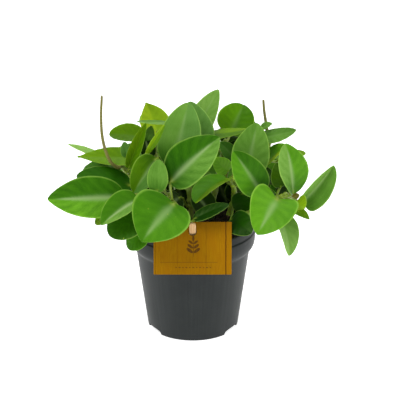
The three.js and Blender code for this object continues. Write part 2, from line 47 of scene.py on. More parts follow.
# ------------------------------------------------------------------ the plant's layout
# Each shoot's course, from its foot in the soil to its top node.
SHOOTS = {
    "right_low": ((35, 35, 74), (36, 36, 93), (37, 34, 104), (41, 24, 125), (38, 10, 149)),
    "right_front": ((28, -4, 74), (30, -5, 93), (44, -10, 112), (68, -18, 132), (89, -25, 145)),
    "left_middle": ((-23, 14, 74), (-25, 15, 93), (-38, 12, 115), (-55, 12, 142), (-70, 10, 163)),
    "left_front": ((-28, -14, 74), (-30, -15, 93), (-38, -18, 112), (-47, -22, 130), (-55, -25, 146)),
    "front": ((-10, -26, 74), (-10, -28, 93), (-14, -30, 112), (-18, -32, 130), (-22, -32, 148)),
    "centre": ((0, 2, 74), (0, 2, 93), (-2, 3, 120), (-4, 4, 150), (-5, 5, 182)),
    "back_right": ((14, 26, 74), (15, 27, 93), (20, 29, 120), (27, 31, 150), (32, 32, 180)),
    "right_tall": ((43, 12, 74), (44, 13, 93), (52, 16, 118), (63, 20, 148), (74, 22, 181)),
    "back_left": ((-21, 32, 74), (-22, 33, 93), (-28, 33, 120), (-35, 33, 150), (-40, 32, 181)),
    "rear_left": ((-7, 42, 74), (-8, 44, 93), (-14, 52, 115), (-22, 62, 140), (-30, 70, 165)),
    "rear_right": ((11, 44, 74), (12, 45, 93), (16, 51, 113), (28, 66, 138), (40, 75, 160)),
}

# The leaves: name, shoot, share of the shoot's length where the petiole starts, the blade's base and
# tip, its width, turn and tone, and then its arch, fold, twist, lobe and point. A row that ends
# early goes on with the usual shape.
USUAL_SHAPE = (3, 8, 0, 0.3, 0.6)
LEAVES = [
    ("front_heart", "front", 0.8, (-17, -60, 149), (-46, -86, 122), 62, 20, "bright", 3, 18, 0, 0.35, 0.7),
    ("left_folded", "left_front", 0.9, (-51, -47, 148), (-84, -68, 131), 34, 38, "mid", 2, 28, 0, 0.4, 0.65),
    ("far_left", "left_front", 0.95, (-66, -28, 144), (-135, -50, 150),
     43, 18, "bright", -2, 10, 10, 0.2, 0.7),
    ("left_dark", "left_front", 1, (-60, -2, 145), (-111, -12, 159), 31, 40, "dark", 3, 8, -10, 0.2),
    ("left_pale", "left_middle", 1, (-64, 12, 170), (-111, 4, 173), 22, 32, "mid", 0, 8, 0, 0.9, 1),
    ("upper_left_round", "back_left", 0.98, (-50, 40, 182), (-82, 35, 186),
     27, 130, "mid", 2, 8, 0, 0.2, 0.5),
    ("left_upright", "left_middle", 0.9, (-61, -10, 167), (-44, -5, 210), 20, 0, "mid", 2, 52, 0, 0.2, 0.65),
    ("centre_left", "front", 1, (-34, -28, 182), (-55, -44, 154), 30, 10, "mid", 3, 25),
    ("small_oval", "front", 0.98, (-33, -54, 159), (-31, -44, 187), 20, 0, "mid", 1, 12, 0, 0.2, 0.55),
    ("centre_broad", "front", 0.95, (-20, -48, 166), (25, -42, 208), 44, -20, "bright", 3, 15, 0, 0.2, 0.66),
    ("top_centre", "centre", 0.9, (-18, -18, 172), (-4, -8, 231), 41, 0, "bright", 4, 10, 8, 0.2),
    ("top_behind", "centre", 0.95, (10, 6, 180), (-3, 12, 226), 31, 0, "mid", 4, 12, 0, 0.2),
    ("crown", "centre", 1, (-1, 26, 184), (25, 35, 231), 26, -10, "mid", 2, 12, -14, 0.2, 0.65),
    ("top_right_round", "back_right", 0.98, (37, 42, 184), (50, 64, 207), 38, 0, "dark", 2, 8, 0, 0.3, 0.5),
    ("under_crown", "back_right", 0.9, (19, 22, 190), (52, 12, 198), 23, -64, "young", -1, 0, 0, 0.7),
    ("right_upright", "right_low", 0.97, (51, -14, 160), (61, -5, 210),
     37, 0, "bright", 4, 10, -10, 0.2, 0.62),
    ("right_curled", "right_low", 0.93, (64, -32, 150), (38, -38, 193), 32, 5, "bright", 4, 10, 0, 0.2),
    ("right_creased", "right_tall", 0.9, (71, 15, 161), (90, -10, 189), 21, -55, "mid", 1, 24, 0, 0.2, 0.65),
    ("right_heart", "right_front", 0.9, (79, -45, 148), (60, -69, 122), 46, 6, "bright", 4, 12, 0, 1, 0.66),
    ("right_oval", "right_front", 0.95, (94, -32, 149), (87, -27, 197), 35, 30, "bright", 3, 20, -56, 0.2),
    ("right_behind", "right_tall", 0.97, (67, 9, 191), (99, 7, 199), 19, -42, "mid", -1, 0, 0, 0.5),
    ("far_right", "right_front", 1, (106, -12, 133), (134, -15, 171), 34, 24, "dark", 2, 44, 0, 0.5, 0.5),
    ("right_hanging", "right_front", 0.8, (75, -30, 132), (91, -60, 97), 37, -56, "mid", 5, 15, 8, 0.3, 0.62),
    ("under_right", "right_low", 0.7, (36, -34, 123), (55, -58, 119), 27, -15, "dark", 3, 10, 0, 0.25, 0.45),
    ("above_card", "front", 0.92, (2, -60, 134), (34, -56, 147), 16, -42, "dark", 1, 10, 0, 0.2),
    ("centre_low", "right_low", 1, (34, -15, 157), (3, -52, 147), 35, 60, "mid", 3, 20, 8, 0.2, 0.5),
    ("centre_small", "right_low", 0.88, (34, 5, 158), (20, -9, 176), 18, 0, "bright", 1, 10, 0, 0.2),
    ("left_under", "left_front", 0.8, (-50, -49, 131), (-79, -55, 117), 34, 20, "dark", 3, 10, 0, 0.3, 0.5),
    ("rim_left", "left_front", 0.65, (-43, -50, 114), (-62, -46, 100), 21, 20, "mid", 2, 10, 0, 0.3, 0.5),
    ("edge_on", "back_left", 0.95, (-24, 15, 204), (-53, 5, 208), 22, 76, "mid", 0, 0, 0, 0.2),
    ("backlit", "back_left", 0.93, (-35, 43, 186), (-46, 48, 214), 31, 165, "young", 3, 6, 0, 0.7, 0.95),
    ("rear_heart_left", "rear_left", 0.97, (-34, 74, 164), (-58, 85, 126),
     44, 180, "mid", 4, 8, 12, 0.7, 0.62),
    ("rear_heart_low", "rear_left", 0.85, (-20, 72, 142), (-14, 86, 94),
     42, 180, "mid", 4, 8, -10, 0.6, 0.62),
    ("rear_heart_right", "rear_right", 0.97, (46, 78, 160), (64, 86, 118), 46, 180, "mid", 4, 8, -9, 0.7),
    ("rear_low_right", "rear_right", 0.85, (30, 76, 138), (24, 86, 90), 40, 180, "mid", 4, 8, 14, 0.5, 0.62),
    ("rear_top_left", "rear_left", 1, (-24, 70, 170), (4, 86, 180), 36, -120, "mid"),
    ("rear_top_right", "rear_right", 1, (46, 66, 176), (68, 76, 173), 28, -130, "mid"),
    ("rear_far_left", "rear_left", 0.9, (-38, 64, 156), (-86, 66, 150), 38, 110, "bright", 3, 8, 12),
    ("rear_far_right", "rear_right", 0.9, (50, 68, 154), (94, 62, 150), 38, -110, "bright", 3, 8, -9),
    ("back_low_left", "left_middle", 0.7, (-50, 40, 146), (-94, 48, 126), 40, 150, "mid", 3, 8, -10),
    ("back_low_right", "right_tall", 0.6, (62, 46, 146), (100, 50, 126), 38, -150, "mid", 3, 8, 12),
    ("back_upper_left", "back_left", 0.9, (-46, 50, 182), (-38, 78, 180), 34, 0, "bright", 3, 8, 8),
    ("back_upper_right", "back_right", 0.93, (36, 45, 171), (40, 68, 181), 30, 0, "mid", 3, 8, -8),
]

# The small young and inner leaves, each part of its shoot.
YOUNG_LEAVES = [
    ("left_grey_tip", "left_middle", 0.93, (-70, 17, 159), (-107, 15, 155),
     26, 50, "mid", 1, 8, 0, 0.2, 0.55),
    ("left_pale_tip", "left_middle", 1, (-79, 22, 160), (-122, 30, 177), 14, 60, "young", 1, 8, 0, 0.2, 0.7),
    ("left_narrow", "left_front", 1, (-43, -24, 186), (-26, -27, 215), 7, 20, "young", 0, 15, 0, 0.2),
    ("left_yellow", "left_front", 0.85, (-68, -26, 134), (-93, -30, 117), 20, 40, "young", 1, 8, 0, 0.3, 0.5),
    ("back_left_bud", "left_middle", 0.85, (-63, -5, 176), (-65, -5, 191), 10, 0, "mid", 1, 8, 0, 0.2, 0.5),
    ("back_left_pair", "back_left", 0.97, (-46, 24, 181), (-40, 20, 199), 12, 20, "mid", 1, 8, 0, 0.2),
    ("right_bud", "right_front", 0.99, (99, -37, 143), (105, -48, 140), 17, 0, "young", 1, 20, 0, 0.4, 0.5),
    ("right_brown", "right_front", 0.85, (92, -28, 133), (110, -40, 126), 12, -40, "dark", 1, 15, 0, 0.2),
    ("right_stipule", "right_front", 0.94, (90, -7, 134), (103, -5, 137), 10, -20, "young", 1, 8, 0, 0.2),
    ("right_shade", "right_front", 0.9, (84, -12, 148), (80, -10, 172), 20, 20, "dark", 2, 8, 0, 0.2),
    ("right_top_tip", "right_tall", 1, (66, 16, 198), (76, 12, 204), 8, -30, "mid", 1, 8, 0, 0.2),
    ("right_back_tip", "right_tall", 0.85, (84, 24, 163), (110, 20, 171),
     16, -50, "young", 1, 8, 0, 0.2, 0.5),
    ("right_inner_shade", "right_tall", 0.75, (70, 4, 146), (64, -4, 168), 22, 0, "dark", 2, 8, 0, 0.2),
    ("right_low_shade", "right_low", 0.98, (39, 10, 171), (26, 4, 188), 15, 10, "mid", 1, 8, 0, 0.2),
    ("right_low_edge", "right_low", 0.62, (49, 6, 135), (49, 2, 115), 24, 0, "dark", 2, 8, 0, 0.3, 0.5),
    ("inner_centre", "centre", 0.5, (2, -6, 138), (20, -8, 114), 28, -30, "dark", 2),
    ("inner_centre_left", "centre", 0.45, (-12, -4, 134), (-32, -8, 118), 30, 30, "dark", 2),
    ("inner_back_right", "back_right", 0.5, (26, 38, 134), (36, 45, 107), 34, 10, "dark", 2),
    ("inner_right", "right_tall", 0.45, (62, 25, 131), (76, 35, 108), 32, 10, "dark", 2),
    ("inner_back_left", "back_left", 0.5, (-30, 42, 134), (-40, 46, 112), 34, -10, "dark", 2),
    ("inner_left", "left_middle", 0.5, (-44, 20, 131), (-66, 26, 115), 32, -10, "dark", 2),
    ("inner_right_low", "right_tall", 0.65, (72, 28, 142), (84, 32, 112), 40, 0, "dark", 2),
    ("inner_mid_right", "right_low", 0.75, (42, 28, 140), (49, 38, 114), 30, 0, "dark", 2),
    ("inner_front", "centre", 0.6, (-14, 16, 136), (-8, 22, 108), 34, 0, "dark", 2),
    ("inner_left_front", "left_front", 0.7, (-48, -4, 138), (-58, 4, 114), 32, 0, "dark", 2),
    ("inner_top_back", "centre", 0.8, (2, 24, 166), (4, 54, 170), 36, 0, "mid"),
    ("right_side_upper", "right_tall", 0.7, (84, 14, 150), (98, 20, 116), 32, -100, "mid", 3, 8, 0, 0.4),
    ("right_side_lower", "right_tall", 0.55, (76, 8, 138), (88, 12, 104), 32, -90, "mid", 3, 8, 0, 0.4),
    ("left_side_upper", "left_middle", 0.75, (-80, 14, 138), (-92, 20, 104), 32, 100, "mid", 3, 8, 0, 0.4),
    ("left_side_lower", "left_middle", 0.5, (-60, 32, 120), (-70, 40, 92), 30, 100, "mid", 3, 8, 0, 0.4),
    ("inner_top_left", "back_left", 0.8, (-28, 22, 168), (-14, -2, 158), 34, -10, "mid"),
    ("inner_top_right", "back_right", 0.8, (48, 30, 172), (57, 6, 164), 20, 10, "mid"),
    ("inner_high_right", "back_right", 0.85, (40, 24, 162), (40, 20, 184), 24, 0, "dark"),
    ("inner_high_left", "back_left", 0.9, (-42, 27, 166), (-48, 25, 191), 16, 0, "dark"),
    ("inner_top_rear", "back_left", 0.75, (-30, 46, 164), (-10, 60, 160), 34, 0, "mid"),
    ("rear_middle", "rear_left", 0.65, (2, 66, 132), (6, 78, 98), 36, 180, "mid", 3, 8, 0, 0.4),
    ("rear_upper", "rear_right", 0.97, (18, 72, 164), (6, 80, 140), 32, 180, "bright", 3, 8, 0, 0.4),
]

# The flower spikes' courses.
SPIKES = {
    "left_flower_spike": (
        (-68.7, 7.2, 163), (-72, -3, 165), (-78, -9, 172), (-83, -8, 184),
        (-86, -4, 197), (-87, 2, 214), (-86, 6, 234),
    ),
    "right_flower_spike": (
        (73.3, 19.9, 184.3), (71, 22, 200), (69, 24, 213), (68, 25, 224),
    ),
}

# The direction that a leaf with no turn faces: the front, and this much upwards.
FACING_UP = math.radians(21)
FACING = np.array([0.0, -math.cos(FACING_UP), math.sin(FACING_UP)])
FOOT_RADIUS, TIP_RADIUS = 3.4, 2.3  # of a shoot
PETIOLE_RADIUS, THICKNESS = 1.3, 1.2  # of a leaf's stalk and blade
SOFT_FOLD = 0.25  # how round the crease of a folded blade is
REACH = 0.38  # how far a petiole's ends keep their direction, as a share of its length

# Leaf colours, as linear RGB. Some stand in for light: the deepest is painted shade, the grey and silver ones
# are painted sheen, and the glowing one is painted light shining through a blade.
TONES = {
    "bright": (0.100, 0.31, 0.010),
    "mid": (0.050, 0.21, 0.003),
    "dark": (0.024, 0.115, 0.001),
    # painted shade: the tone of leaves in the shade deep inside the plant
    "painted_deep_shade": (0.008, 0.034, 0.0005),
    "young": (0.21, 0.38, 0.012),
    # painted sheen: greyish tones that stand in for light catching the blade's satin surface
    "painted_grey_sheen": (0.095, 0.245, 0.035),
    "painted_silver_sheen": (0.150, 0.335, 0.045),
    "olive": (0.065, 0.165, 0.0015),
    # painted light: the glow of light shining through a blade from behind
    "painted_glow": (0.066, 0.21, 0.0),
    "lime": (0.24, 0.43, 0.008),
    "bark": (0.16, 0.15, 0.02),
    "stem": (0.24, 0.34, 0.03),
    "foot": (0.27, 0.34, 0.06),
}

# Leaves whose look isn't simply their row's tone: the tone and the lightness of the half on the blade's side
# direction, then of the other half, which is painted light and painted shade for how light falls on each half
# and how much shade it lies in; the lightness at the blade's root, painted shade where it is below 1; the
# strength of the streaks along the side veins (below 0: along the blade), of the midrib's stripe and of the
# pale specks. A row that ends early goes on with the usual look.
USUAL_LOOK = (1.0, 0.3, 0.0, 0.0)
LOOKS = {
    "front_heart": ("bright", 0.8, "bright", 0.66, 0.78, 0.4, 0.6, 0.6),
    "left_folded": ("painted_silver_sheen", 1.1, "bright", 0.66, 1, 0.3, 1, 0.2),
    "far_left": ("bright", 1.15, "bright", 0.58, 0.8, 0.9, 0.9, 0.4),
    "left_dark": ("mid", 0.62, "mid", 0.6, 0.7, 0.5),
    "left_pale": ("lime", 0.7, "lime", 0.75, 0.8, 0.5),
    "upper_left_round": ("painted_glow", 2.1, "painted_glow", 1.9),
    "left_upright": ("lime", 0.8, "lime", 0.55, 0.8, 0.6),
    "centre_left": ("painted_grey_sheen", 0.8, "lime", 0.45, 0.7, -0.9, 0.3),
    "small_oval": ("painted_silver_sheen", 0.9, "painted_silver_sheen", 0.95, 0.55, -1),
    "centre_broad": ("bright", 0.42, "painted_silver_sheen", 0.8, 0.45, 1, 0.8),
    "top_centre": ("painted_silver_sheen", 0.9, "painted_grey_sheen", 1.1, 0.3, -0.4, 0.35),
    "top_behind": ("mid", 1.5, "painted_grey_sheen", 1.3, 0.7),
    "crown": ("painted_silver_sheen", 1.3, "painted_silver_sheen", 1.2, 0.8, 0.4, 0.25),
    "top_right_round": ("painted_glow", 1.35, "painted_glow", 0.9, 1, 0.5, 0.2),
    "under_crown": ("young", 0.8, "young", 0.5, 0.8),
    "right_upright": ("painted_silver_sheen", 0.8, "painted_silver_sheen", 0.95, 0.8, 0.5, 0.4),
    "right_curled": ("bright", 0.85, "bright", 0.42, 0.8, 0.6, 0.5),
    "right_creased": ("mid", 1.9, "lime", 1.3),
    "right_heart": ("bright", 0.95, "bright", 1.05, 1, 0.5, 0.7, 0.2),
    "right_oval": ("painted_silver_sheen", 1.12, "bright", 0.95, 0.6, 0.5, 0.8),
    "right_behind": ("painted_silver_sheen", 0.6, "painted_silver_sheen", 0.75, 0.9, 0.4, 0.1),
    "far_right": ("painted_silver_sheen", 1.25, "painted_silver_sheen", 0.9, 0.8, -0.5, 0.5),
    "right_hanging": ("painted_silver_sheen", 1.05, "painted_silver_sheen", 1.3, 0.9, 0.5, 0.3),
    "under_right": ("dark", 0.6, "dark", 0.42, 0.8, 0.5),
    "above_card": ("dark", 0.42, "dark", 0.38),
    "centre_low": ("lime", 0.85, "mid", 1.45),
    "centre_small": ("bright", 1.7, "bright", 1.9, 0.8, 0.5, 0.1),
    "backlit": ("lime", 1.3, "lime", 1.8, 0.9),
    "left_under": ("dark", 1.2, "dark", 1, 1, 0.5, 0, 1),
    "rim_left": ("mid", 1, "mid", 0.9, 1, 0.4, 0, 0.6),
    "edge_on": ("painted_silver_sheen", 1.15, "painted_silver_sheen", 0.8),
    "left_narrow": ("lime", 1, "lime", 0.6, 1, 0.2),
    "left_grey_tip": ("painted_grey_sheen", 0.8, "painted_grey_sheen", 0.8, 1, -0.5),
    "left_pale_tip": ("painted_silver_sheen", 1.5, "painted_silver_sheen", 1.5, 1, 0.2),
    "back_left_bud": ("painted_grey_sheen", 1, "painted_grey_sheen", 1, 0.8, -0.5),
    "back_left_pair": ("painted_silver_sheen", 0.9, "painted_silver_sheen", 0.9, 0.5, -0.5),
    "right_bud": ("lime", 1.1, "lime", 1, 0.9),
    "right_brown": ("lime", 0.7, "lime", 0.6),
    "right_stipule": ("bark", 1, "bark", 1),
    "right_shade": ("olive", 0.8, "olive", 0.6),
    "right_inner_shade": ("olive", 0.5, "olive", 0.4),
    "right_low_shade": ("painted_grey_sheen", 0.75, "painted_grey_sheen", 0.6, 0.7, 0.3, 0.1),
    "right_low_edge": ("dark", 0.6, "dark", 0.5),
    "right_top_tip": ("painted_silver_sheen", 0.9, "painted_silver_sheen", 0.9),
    "right_back_tip": ("lime", 0.8, "lime", 0.8),
    "back_upper_right": ("painted_deep_shade", 1.5, "painted_deep_shade", 1.5),
}


# ------------------------------------------------------------------ curves and shapes
def unit(v):
    return v / np.linalg.norm(v)


def turned(v, axis, angle):
    """v turned about a unit axis by an angle in radians."""
    c, s = math.cos(angle), math.sin(angle)
    return v * c + np.cross(axis, v) * s + axis * np.dot(axis, v) * (1 - c)


def bent(vectors, old, new):
    """Vectors turned by the smallest turn that brings the direction old to new."""
    axis = np.cross(old, new)
    length = np.linalg.norm(axis)
    if length < 1e-9:
        return vectors
    angle = math.atan2(length, np.dot(old, new))
    return [turned(v, axis / length, angle) for v in vectors]


def smoothstep(x, low, high):
    t = np.clip((x - low) / (high - low), 0, 1)
    return t * t * (3 - 2 * t)


def bell(x, width):
    return np.exp(-((x / width) ** 2))


class Course:
    """A smooth centripetal curve through points, measured by its share of the length."""

    def __init__(self, points, samples=40):
        p = np.array(points, float)
        p = np.vstack([2 * p[0] - p[1], p, 2 * p[-1] - p[-2]])
        w = np.linspace(0, 1, samples, endpoint=False)[:, None]
        runs = []
        for p0, p1, p2, p3 in zip(p, p[1:], p[2:], p[3:]):
            d0, d1, d2 = (math.sqrt(np.linalg.norm(q)) for q in (p1 - p0, p2 - p1, p3 - p2))
            t1 = ((p1 - p0) / d0 - (p2 - p0) / (d0 + d1) + (p2 - p1) / d1) * d1
            t2 = ((p2 - p1) / d1 - (p3 - p1) / (d1 + d2) + (p3 - p2) / d2) * d1
            c2 = -3 * p1 + 3 * p2 - 2 * t1 - t2
            c3 = 2 * p1 - 2 * p2 + t1 + t2
            runs.append(p1 + t1 * w + c2 * w**2 + c3 * w**3)
        self.points = np.vstack(runs + [p[-2][None]])
        steps = np.linalg.norm(np.diff(self.points, axis=0), axis=1)
        self.lengths = np.concatenate([[0], np.cumsum(steps)])
        self.length = self.lengths[-1]

    def at(self, share):
        where = np.clip(share, 0, 1) * self.length
        return np.array([np.interp(where, self.lengths, self.points[:, k]) for k in range(3)]).T

    def tangent(self, share, step=0.004):
        return unit(self.at(min(1, share + step)) - self.at(max(0, share - step)))


def set_uv(mesh, name, uv):
    """Adds a uv map that has one uv for each vertex."""
    corner = np.zeros(len(mesh.loops), int)
    mesh.loops.foreach_get("vertex_index", corner)
    mesh.uv_layers.new(name=name).data.foreach_set("uv", uv[corner].ravel())


class Shape:
    """Vertices in millimetres with their paint, and faces with their material's number.

    Each vertex has a tint (linear RGB), marks (stripe, top side, streaks, specks) and uv."""

    def __init__(self):
        self.verts, self.tints, self.marks, self.uvs = [], [], [], []
        self.faces, self.slots, self.count = [], [], 0

    def add(self, verts, faces, slots, tints, marks, uvs):
        n = len(verts)
        self.verts.append(verts)
        self.tints.append(np.broadcast_to(tints, (n, 3)))
        self.marks.append(np.broadcast_to(marks, (n, 4)))
        self.uvs.append(uvs)
        self.faces += [tuple(k + self.count for k in f) for f in faces]
        self.slots += list(np.broadcast_to(slots, len(faces)))
        self.count += n

    def build(self, name, materials, node, slot):
        """Makes the object that stands for a CAD node."""
        mesh = bpy.data.meshes.new(name)
        mesh.from_pydata((np.vstack(self.verts) * MM).tolist(), [], self.faces)
        tint = np.column_stack([np.vstack(self.tints), np.ones(self.count)])
        for layer, values in (("tint", tint), ("marks", np.vstack(self.marks))):
            data = mesh.attributes.new(layer, "FLOAT_COLOR", "POINT").data
            data.foreach_set("color", values.ravel())
        set_uv(mesh, "leaf", np.vstack(self.uvs))
        for material in materials:
            mesh.materials.append(material)
        mesh.polygons.foreach_set("material_index", np.array(self.slots, int))
        mesh.polygons.foreach_set("use_smooth", np.ones(len(mesh.polygons), bool))
        mesh.update()
        return place(bpy.data.objects.new(name, mesh), slot, node)


def place(obj, slot, *nodes):
    """Links a piece, which rides on the only body and may stand for CAD nodes."""
    bpy.context.scene.collection.objects.link(obj)
    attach(obj, "root")
    if nodes:
        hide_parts(*nodes)
    return obj


def ring_faces(rings, around):
    """Faces of a closed surface through rings, whose first and last points are single ones."""
    faces = [(0, 1 + (j + 1) % around, 1 + j) for j in range(around)]
    for i in range(rings - 1):
        a = 1 + i * around
        for j in range(around):
            k = (j + 1) % around
            faces.append((a + j, a + k, a + around + k, a + around + j))
    last = 1 + (rings - 1) * around
    end = 1 + rings * around
    faces += [(end, last + j, last + (j + 1) % around) for j in range(around)]
    return faces


def closed(first, rings, last):
    """The rings' points in one list, between a single first and last point."""
    return np.vstack([first, rings.reshape(-1, rings.shape[-1]), last])


def tube_rings(centres, radii, around, normal):
    """Round rings along a line of centres, turned as little as it allows."""
    tangents = np.gradient(centres, axis=0)
    rings = []
    old = unit(tangents[0])
    normal = unit(normal - old * np.dot(normal, old))
    side = np.cross(normal, old)
    angle = np.arange(around) * 2 * math.pi / around
    for centre, radius, tangent in zip(centres, radii, tangents):
        new = unit(tangent)
        normal, side = bent([normal, side], old, new)
        old = new
        circle = np.outer(np.cos(angle), side) + np.outer(np.sin(angle), normal)
        rings.append(centre + radius * circle)
    return np.array(rings)


def tube_uvs(share, around):
    """Uvs of a closed tube: the share of its length, and how far round from its seam."""
    turn = np.abs(np.arange(around) * 2 / around - 1)
    rings = np.column_stack([np.repeat(share, around), np.tile(turn, len(share))])
    return np.vstack([[0, 0], rings, [1, 0]])


# ------------------------------------------------------------------ leaves
AROUND = 40  # points around a blade, half of them on each side
ALONG = 44  # rings from the blade's base to its tip
PETIOLE_RINGS = 12
LEAF_MATERIAL, STEM_MATERIAL = 0, 1
PLAIN_MARKS = [0, 1, 0, 0]
THETA = (np.arange(AROUND) + 0.5) * 2 * np.pi / AROUND
GROOVE_DEPTH, GROOVE_WIDTH = 0.5, 1.1  # along the midrib, on the blade's upper side
RIDGE_HEIGHT, RIDGE_WIDTH = 0.8, 1.2  # along the midrib, on its underside
SWELLING, VEIN_PAIRS, VEIN_SLANT = 0.13, 5.5, 1.3  # between the side veins
# The waves along the margin: their height where the blade is as wide as said, and their number.
MARGIN_WAVE, WAVE_WIDTH, MARGIN_WAVES = (0.2, 0.7), 40, (0.8, 1.4)
YOUNG_SEED = 100


def outline(s, lobe, point):
    return np.sin(np.pi * s ** (0.85 - 0.2 * lobe)) ** point


def ear_reach(s):
    return s**0.5 * (1 - s) ** 2.5


class Leaf:
    """One leaf of the table: its frame, its blade's surface and its petiole's course."""

    def __init__(self, row, order):
        self.name, self.shoot, self.share, base, tip, self.width, turn, self.tone, *shape = row
        self.arch, fold, twist, self.lobe, self.point = shape + list(USUAL_SHAPE[len(shape):])
        self.base, self.tip = np.array(base, float), np.array(tip, float)
        self.length = np.linalg.norm(self.tip - self.base)
        self.along = unit(self.tip - self.base)
        normal = unit(FACING - self.along * np.dot(FACING, self.along))
        self.normal = turned(normal, self.along, math.radians(turn))
        self.side = np.cross(self.normal, self.along)
        self.fold, self.twist = math.radians(fold), math.radians(twist)
        self.rng = np.random.default_rng(order)

    def look(self):
        if self.name in LOOKS:
            look = LOOKS[self.name]
            return look + USUAL_LOOK[len(look) - 4:]
        # Painted shade: leaves inside the plant take the deepest tone, and each leaf's far half and root are
        # painted a little darker.
        tone = "painted_deep_shade" if self.name.startswith("inner") else self.tone
        stripe, streaks = self.rng.uniform(0.3, 0.8), self.rng.uniform(0.3, 0.6)
        return tone, 1.0, tone, 0.8, 0.9, streaks, stripe, 0.2

    def blade(self):
        """The blade's rings, and s (along), a (across) and up of each of their points."""
        step = np.arange(1, ALONG + 1) / (ALONG + 1)
        s = (0.5 - 0.5 * np.cos(np.pi * (0.03 + 0.955 * step)))[:, None]
        a, up = np.cos(THETA)[None, :], np.sin(THETA)[None, :]
        rng = self.rng
        wobble = 1 + 0.012 * np.sin(7 * s + rng.uniform(0, 6)) * np.sign(a)
        wobble = wobble + 0.008 * np.sin(13 * s + rng.uniform(0, 6) + 2 * np.sign(a))
        half = self.width / 2 * outline(s, self.lobe, self.point) * wobble
        half = np.maximum(PETIOLE_RADIUS, half)
        y = half * a
        z = half * math.sin(self.fold) * (1 + SOFT_FOLD) * a * a / (np.abs(a) + SOFT_FOLD)
        # The blade's own thickness, thinner towards the margin and the tip.
        body = THICKNESS / 2 * (1 - 0.35 * s) * np.clip(1 - a * a, 0, 1) ** 0.28
        root = (PETIOLE_RADIUS - THICKNESS / 2) * np.exp(-s / 0.05) * bell(y, PETIOLE_RADIUS)
        groove = GROOVE_DEPTH * smoothstep(s, 0.01, 0.12) * (1 - s) ** 0.7 * bell(y, GROOVE_WIDTH)
        ridge = RIDGE_HEIGHT * (1 - s) ** 1.2 * bell(y, RIDGE_WIDTH)
        z = z + np.where(up > 0, body + root - groove, -body - root - ridge)
        # Soft swellings between the side veins, and a slow wave along the margin.
        veins = np.sin(2 * np.pi * (VEIN_PAIRS * s - VEIN_SLANT * np.abs(a)) + rng.uniform(0, 6))
        z = z + SWELLING * veins * smoothstep(np.abs(a), 0.1, 0.4) * smoothstep(1 - s, 0.02, 0.2)
        phase = np.where(a > 0, rng.uniform(0, 6), rng.uniform(0, 6))
        amount = rng.uniform(*MARGIN_WAVE) * self.width / WAVE_WIDTH
        wave = np.sin(2 * np.pi * rng.uniform(*MARGIN_WAVES) * s + phase)
        z = z + amount * np.abs(a) ** 2.2 * wave
        angle = self.twist * (s - 0.5)
        flat = y * math.cos(self.fold)
        x = self.length * s - self.lobe * self.length * np.abs(a) ** 1.6 * ear_reach(s)
        across = flat * np.cos(angle) - z * np.sin(angle)
        lift = flat * np.sin(angle) + z * np.cos(angle) + self.arch * 4 * s * (1 - s)
        points = (self.base + x[..., None] * self.along + across[..., None] * self.side
                  + lift[..., None] * self.normal)
        return [points] + [np.broadcast_to(v, y.shape) for v in (s, a, up)]

    def petiole(self):
        """The petiole's centre line, from inside the stem to just before the blade."""
        stem = COURSES[self.shoot]
        root, tangent = stem.at(self.share), stem.tangent(self.share)
        out = self.base - root
        out = unit(out - tangent * np.dot(out, tangent))
        radius = FOOT_RADIUS + (TIP_RADIUS - FOOT_RADIUS) * self.share
        start = root + out * (radius - 0.6)
        reach = REACH * np.linalg.norm(self.base - start)
        arrive = unit(self.along * self.length + 4 * self.arch * self.normal)
        arrive = (arrive + self.normal) * math.sqrt(0.5)
        p = [start, start + out * reach, self.base - arrive * reach, self.base]
        t = np.linspace(0, 1, PETIOLE_RINGS + 1)[:-1, None]
        return ((1 - t) ** 3 * p[0] + 3 * t * (1 - t) ** 2 * p[1] + 3 * t * t * (1 - t) * p[2]
                + t**3 * p[3])

    def petiole_rings(self, t):
        """The petiole's first point, and its rings, turned back from the blade's, as the CAD's are."""
        centres = self.petiole()
        radii = PETIOLE_RADIUS * (0.92 + 0.35 * np.exp(-t / 0.07) + 0.12 * t**3)
        line = np.vstack([centres, self.base])
        normal, side, old = self.normal, self.side, self.along
        rings = []
        for i in range(PETIOLE_RINGS - 1, -1, -1):
            new = unit(line[i + 1] - line[i])
            normal, side = bent([normal, side], old, new)
            old = new
            round_it = np.outer(np.cos(THETA), side) + np.outer(np.sin(THETA), normal)
            rings.insert(0, centres[i] + radii[i] * round_it)
        return centres[:1], np.array(rings)

    def add_to(self, shape):
        blade, s, a, up = self.blade()
        t = np.linspace(0, 1, PETIOLE_RINGS + 1)[:-1]
        start, rings = self.petiole_rings(t)
        verts = closed(start, np.vstack([rings, blade]), self.tip)
        faces = ring_faces(PETIOLE_RINGS + ALONG, AROUND)
        slots = np.full(len(faces), LEAF_MATERIAL)
        slots[: PETIOLE_RINGS * AROUND] = STEM_MATERIAL
        near_tone, near_painted_light, far_tone, far_painted_light, root, streaks, stripe, specks = self.look()
        near = smoothstep(a, -0.12, 0.12)[..., None]
        tint = np.array(TONES[far_tone]) * (1 - near) + np.array(TONES[near_tone]) * near
